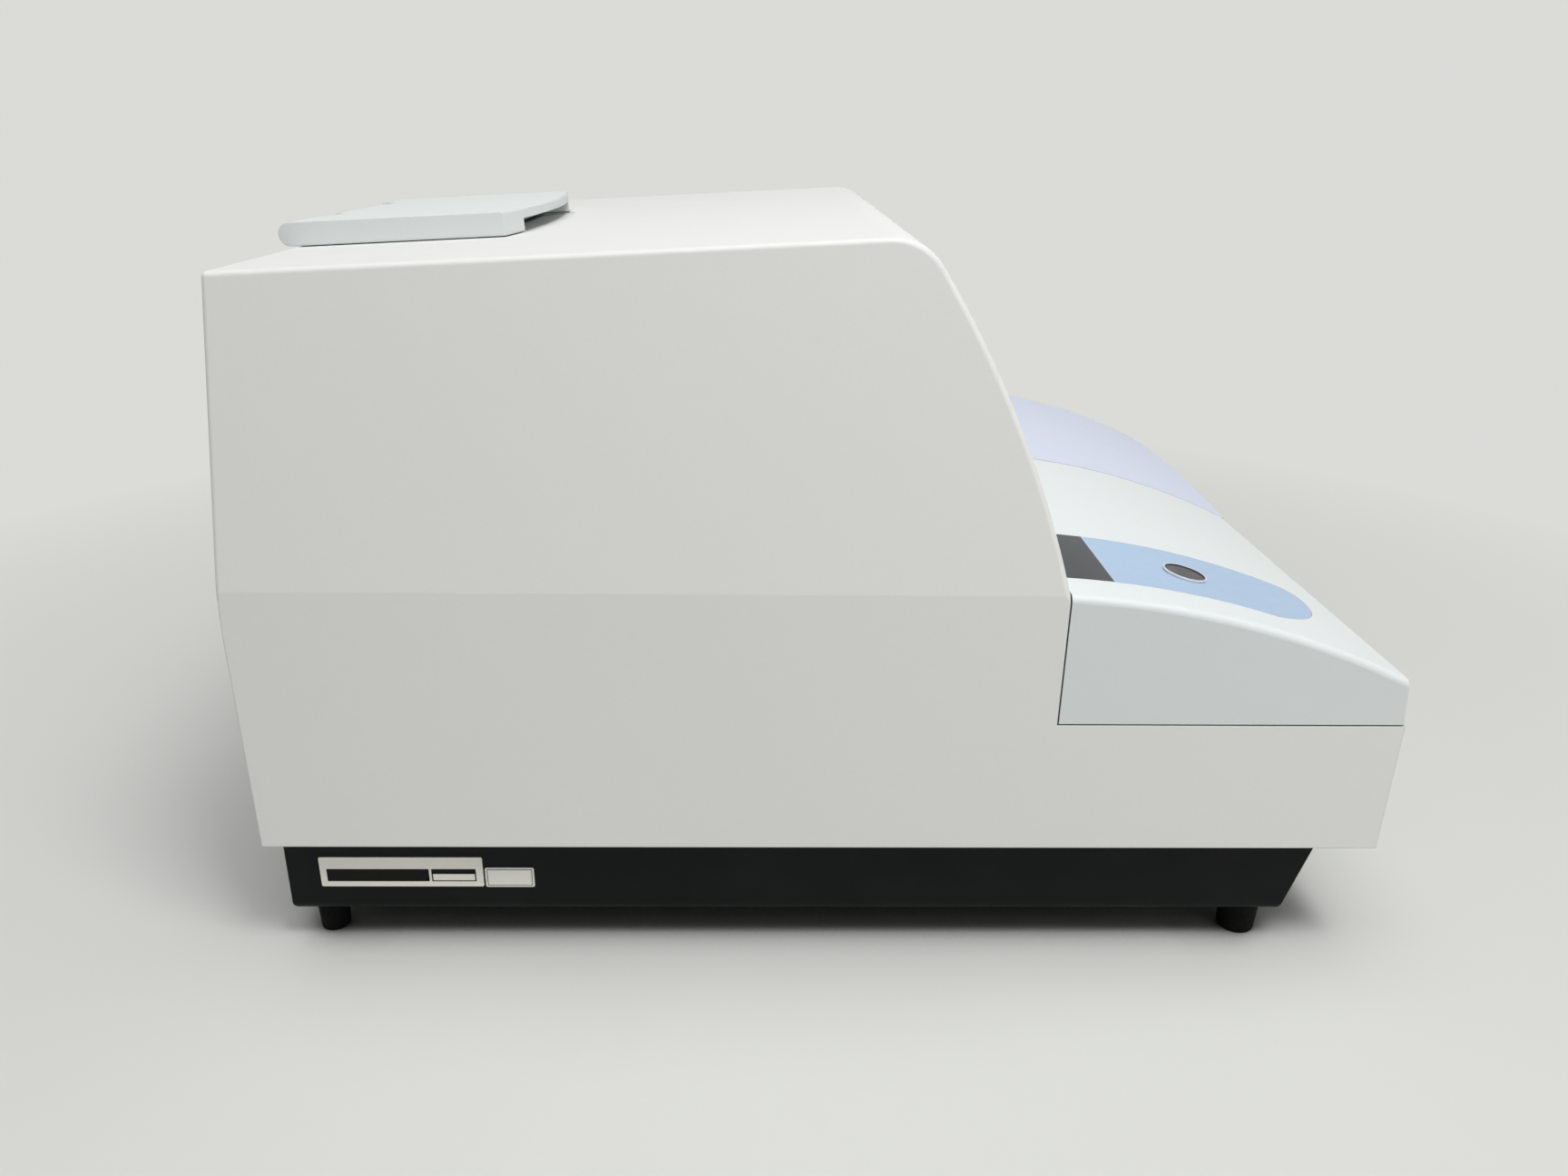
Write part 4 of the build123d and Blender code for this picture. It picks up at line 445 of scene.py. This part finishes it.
plateFinishes = {
    "plateFoil": filmFinish("plateFoil", {
        "colour": (250, 247, 238), "faded": (244, 242, 234), "rough": 0.4, "sheen": 0.4, "edge": 0.0}),
    "plateInk": filmFinish("plateInk", {
        "colour": (8, 8, 8), "faded": (11, 11, 11), "rough": 0.5, "sheen": 0.15, "edge": 0.0}),
}
for plateName, (layer, finish, place) in labelPlates["pieces"].items():
    plate = labelPlate(plateName, place, labelPlates[layer], plateFinishes[finish])
print("plates on the tray")


# floor and light
studio = {
    "floor": (212, 213, 209),
    "floorReach": 7000,       # mm, half the sheet's side
    "backdrop": (219, 219, 216),
    # painted shadow: the floor's colour is darkened by ambient occlusion under and around the reader
    "paintedContactShadow": {"seamReach": 40.0, "seamShade": 0.06, "seamFrom": 0.25, "seamTo": 0.7},
    "fade": (400, 1150),      # mm from the reader's middle, floor into backdrop
    "ambient": 0.17,
    # degrees round and up
    "sky": {"turn": 180, "rise": 82, "spread": 50, "power": 1.25, "distance": 3000},
    "lamps": {
        "sideLamp": {"place": (-900, -500, 2000), "aim": (-200, -50, 200), "size": 600, "power": 19.5},
        "windowLamp": {"place": (-1800, -1500, 950), "aim": (-200, -50, 200), "size": 800, "power": 4.9},
        "rearLamp": {"place": (-600, 900, 1700), "aim": (-200, -50, 200), "size": 500, "power": 1.0},
    },
}


def seenRays(tree):
    # 1 for what is looked at, directly, mirrored or through glass
    path = tree.nodes.new("ShaderNodeLightPath")
    seen = path.outputs["Is Camera Ray"]
    for name in ("Is Glossy Ray", "Is Transmission Ray"):
        either = tree.nodes.new("ShaderNodeMath")
        either.operation = "MAXIMUM"
        tree.links.new(seen, either.inputs[0])
        tree.links.new(path.outputs[name], either.inputs[1])
        seen = either.outputs[0]
    return seen


def floorSheet(spec):
    mesh = bpy.data.meshes.new("floorSheet")
    bm = bmesh.new()
    bmesh.ops.create_grid(bm, x_segments=8, y_segments=8, size=mm(spec["floorReach"]))
    bm.to_mesh(mesh)
    bm.free()
    floor = bpy.data.objects.new("floorSheet", mesh)
    bpy.context.scene.collection.objects.link(floor)
    f = Finish("floorPaint")
    tone = srgb(*spec["floor"])
    paint = f.ramp(f.noise(1.6, 4.0), dimmed(tone, 0.985), tone, 0.35, 0.65)
    # painted shadow: the floor darkens where the reader stands close above it
    f.colour(f.paintedOcclusionShade(paint, spec["paintedContactShadow"]))
    f.gloss(f.spread(f.noise(6.0), 0.5, 0.6))
    f.bumps(f.noise(260.0, 3.0), 0.03, "floor")
    # far out the floor takes the backdrop's colour, so that no horizon shows
    away = f.add("ShaderNodeVectorMath", operation="LENGTH")
    f.join(f.where, away.inputs[0])
    far = f.spread(away.outputs["Value"], 0.0, 1.0, mm(spec["fade"][0]), mm(spec["fade"][1]))
    fade = f.add("ShaderNodeMath", operation="MULTIPLY")
    f.join(far, fade.inputs[0])
    f.join(seenRays(f.tree), fade.inputs[1])
    backdrop = f.add("ShaderNodeEmission", Color=srgb(*spec["backdrop"]), Strength=1.0)
    blend = f.add("ShaderNodeMixShader")
    f.join(fade.outputs[0], blend.inputs["Fac"])
    f.join(f.shader.outputs["BSDF"], blend.inputs[1])
    f.join(backdrop.outputs["Emission"], blend.inputs[2])
    f.join(blend.outputs[0], f.output.inputs["Surface"])
    mesh.materials.append(f.material)


def makeWorld(spec):
    # pale where it is looked at, an even weak light everywhere else
    world = bpy.data.worlds.new("paleRoom")
    world.use_nodes = True
    bpy.context.scene.world = world
    tree = world.node_tree
    tree.nodes.clear()
    seen, lit = tree.nodes.new("ShaderNodeBackground"), tree.nodes.new("ShaderNodeBackground")
    seen.inputs["Color"].default_value = srgb(*spec["backdrop"])
    seen.inputs["Strength"].default_value = 1.0
    lit.inputs["Color"].default_value = white
    lit.inputs["Strength"].default_value = spec["ambient"]
    mixer, output = tree.nodes.new("ShaderNodeMixShader"), tree.nodes.new("ShaderNodeOutputWorld")
    tree.links.new(seenRays(tree), mixer.inputs["Fac"])
    tree.links.new(lit.outputs[0], mixer.inputs[1])
    tree.links.new(seen.outputs[0], mixer.inputs[2])
    tree.links.new(mixer.outputs[0], output.inputs["Surface"])


def holdLamp(lamp, place, outward):
    holder = bpy.data.objects.new(lamp.name, lamp)
    holder.location = place
    holder.rotation_euler = outward.to_track_quat("Z", "Y").to_euler()
    bpy.context.scene.collection.objects.link(holder)


def makeSky(spec):
    # a very wide sun, as even as an overcast sky
    lamp = bpy.data.lights.new("skyLight", "SUN")
    lamp.angle = math.radians(spec["spread"])
    lamp.energy = spec["power"]
    turn, rise = math.radians(spec["turn"]), math.radians(spec["rise"])
    outward = Vector((math.cos(turn) * math.cos(rise), math.sin(turn) * math.cos(rise), math.sin(rise)))
    holdLamp(lamp, outward * mm(spec["distance"]), outward)


def makeLamp(name, spec):
    lamp = bpy.data.lights.new(name, "AREA")
    lamp.shape = "SQUARE"
    lamp.size = mm(spec["size"])
    lamp.energy = spec["power"]
    holdLamp(lamp, mm(*spec["place"]), mm(*spec["place"]) - mm(*spec["aim"]))


floorSheet(studio)
makeWorld(studio)
makeSky(studio["sky"])
for lampName, lampSpec in studio["lamps"].items():
    makeLamp(lampName, lampSpec)
bpy.context.scene.view_settings.view_transform = "Standard"
print("studio ready")
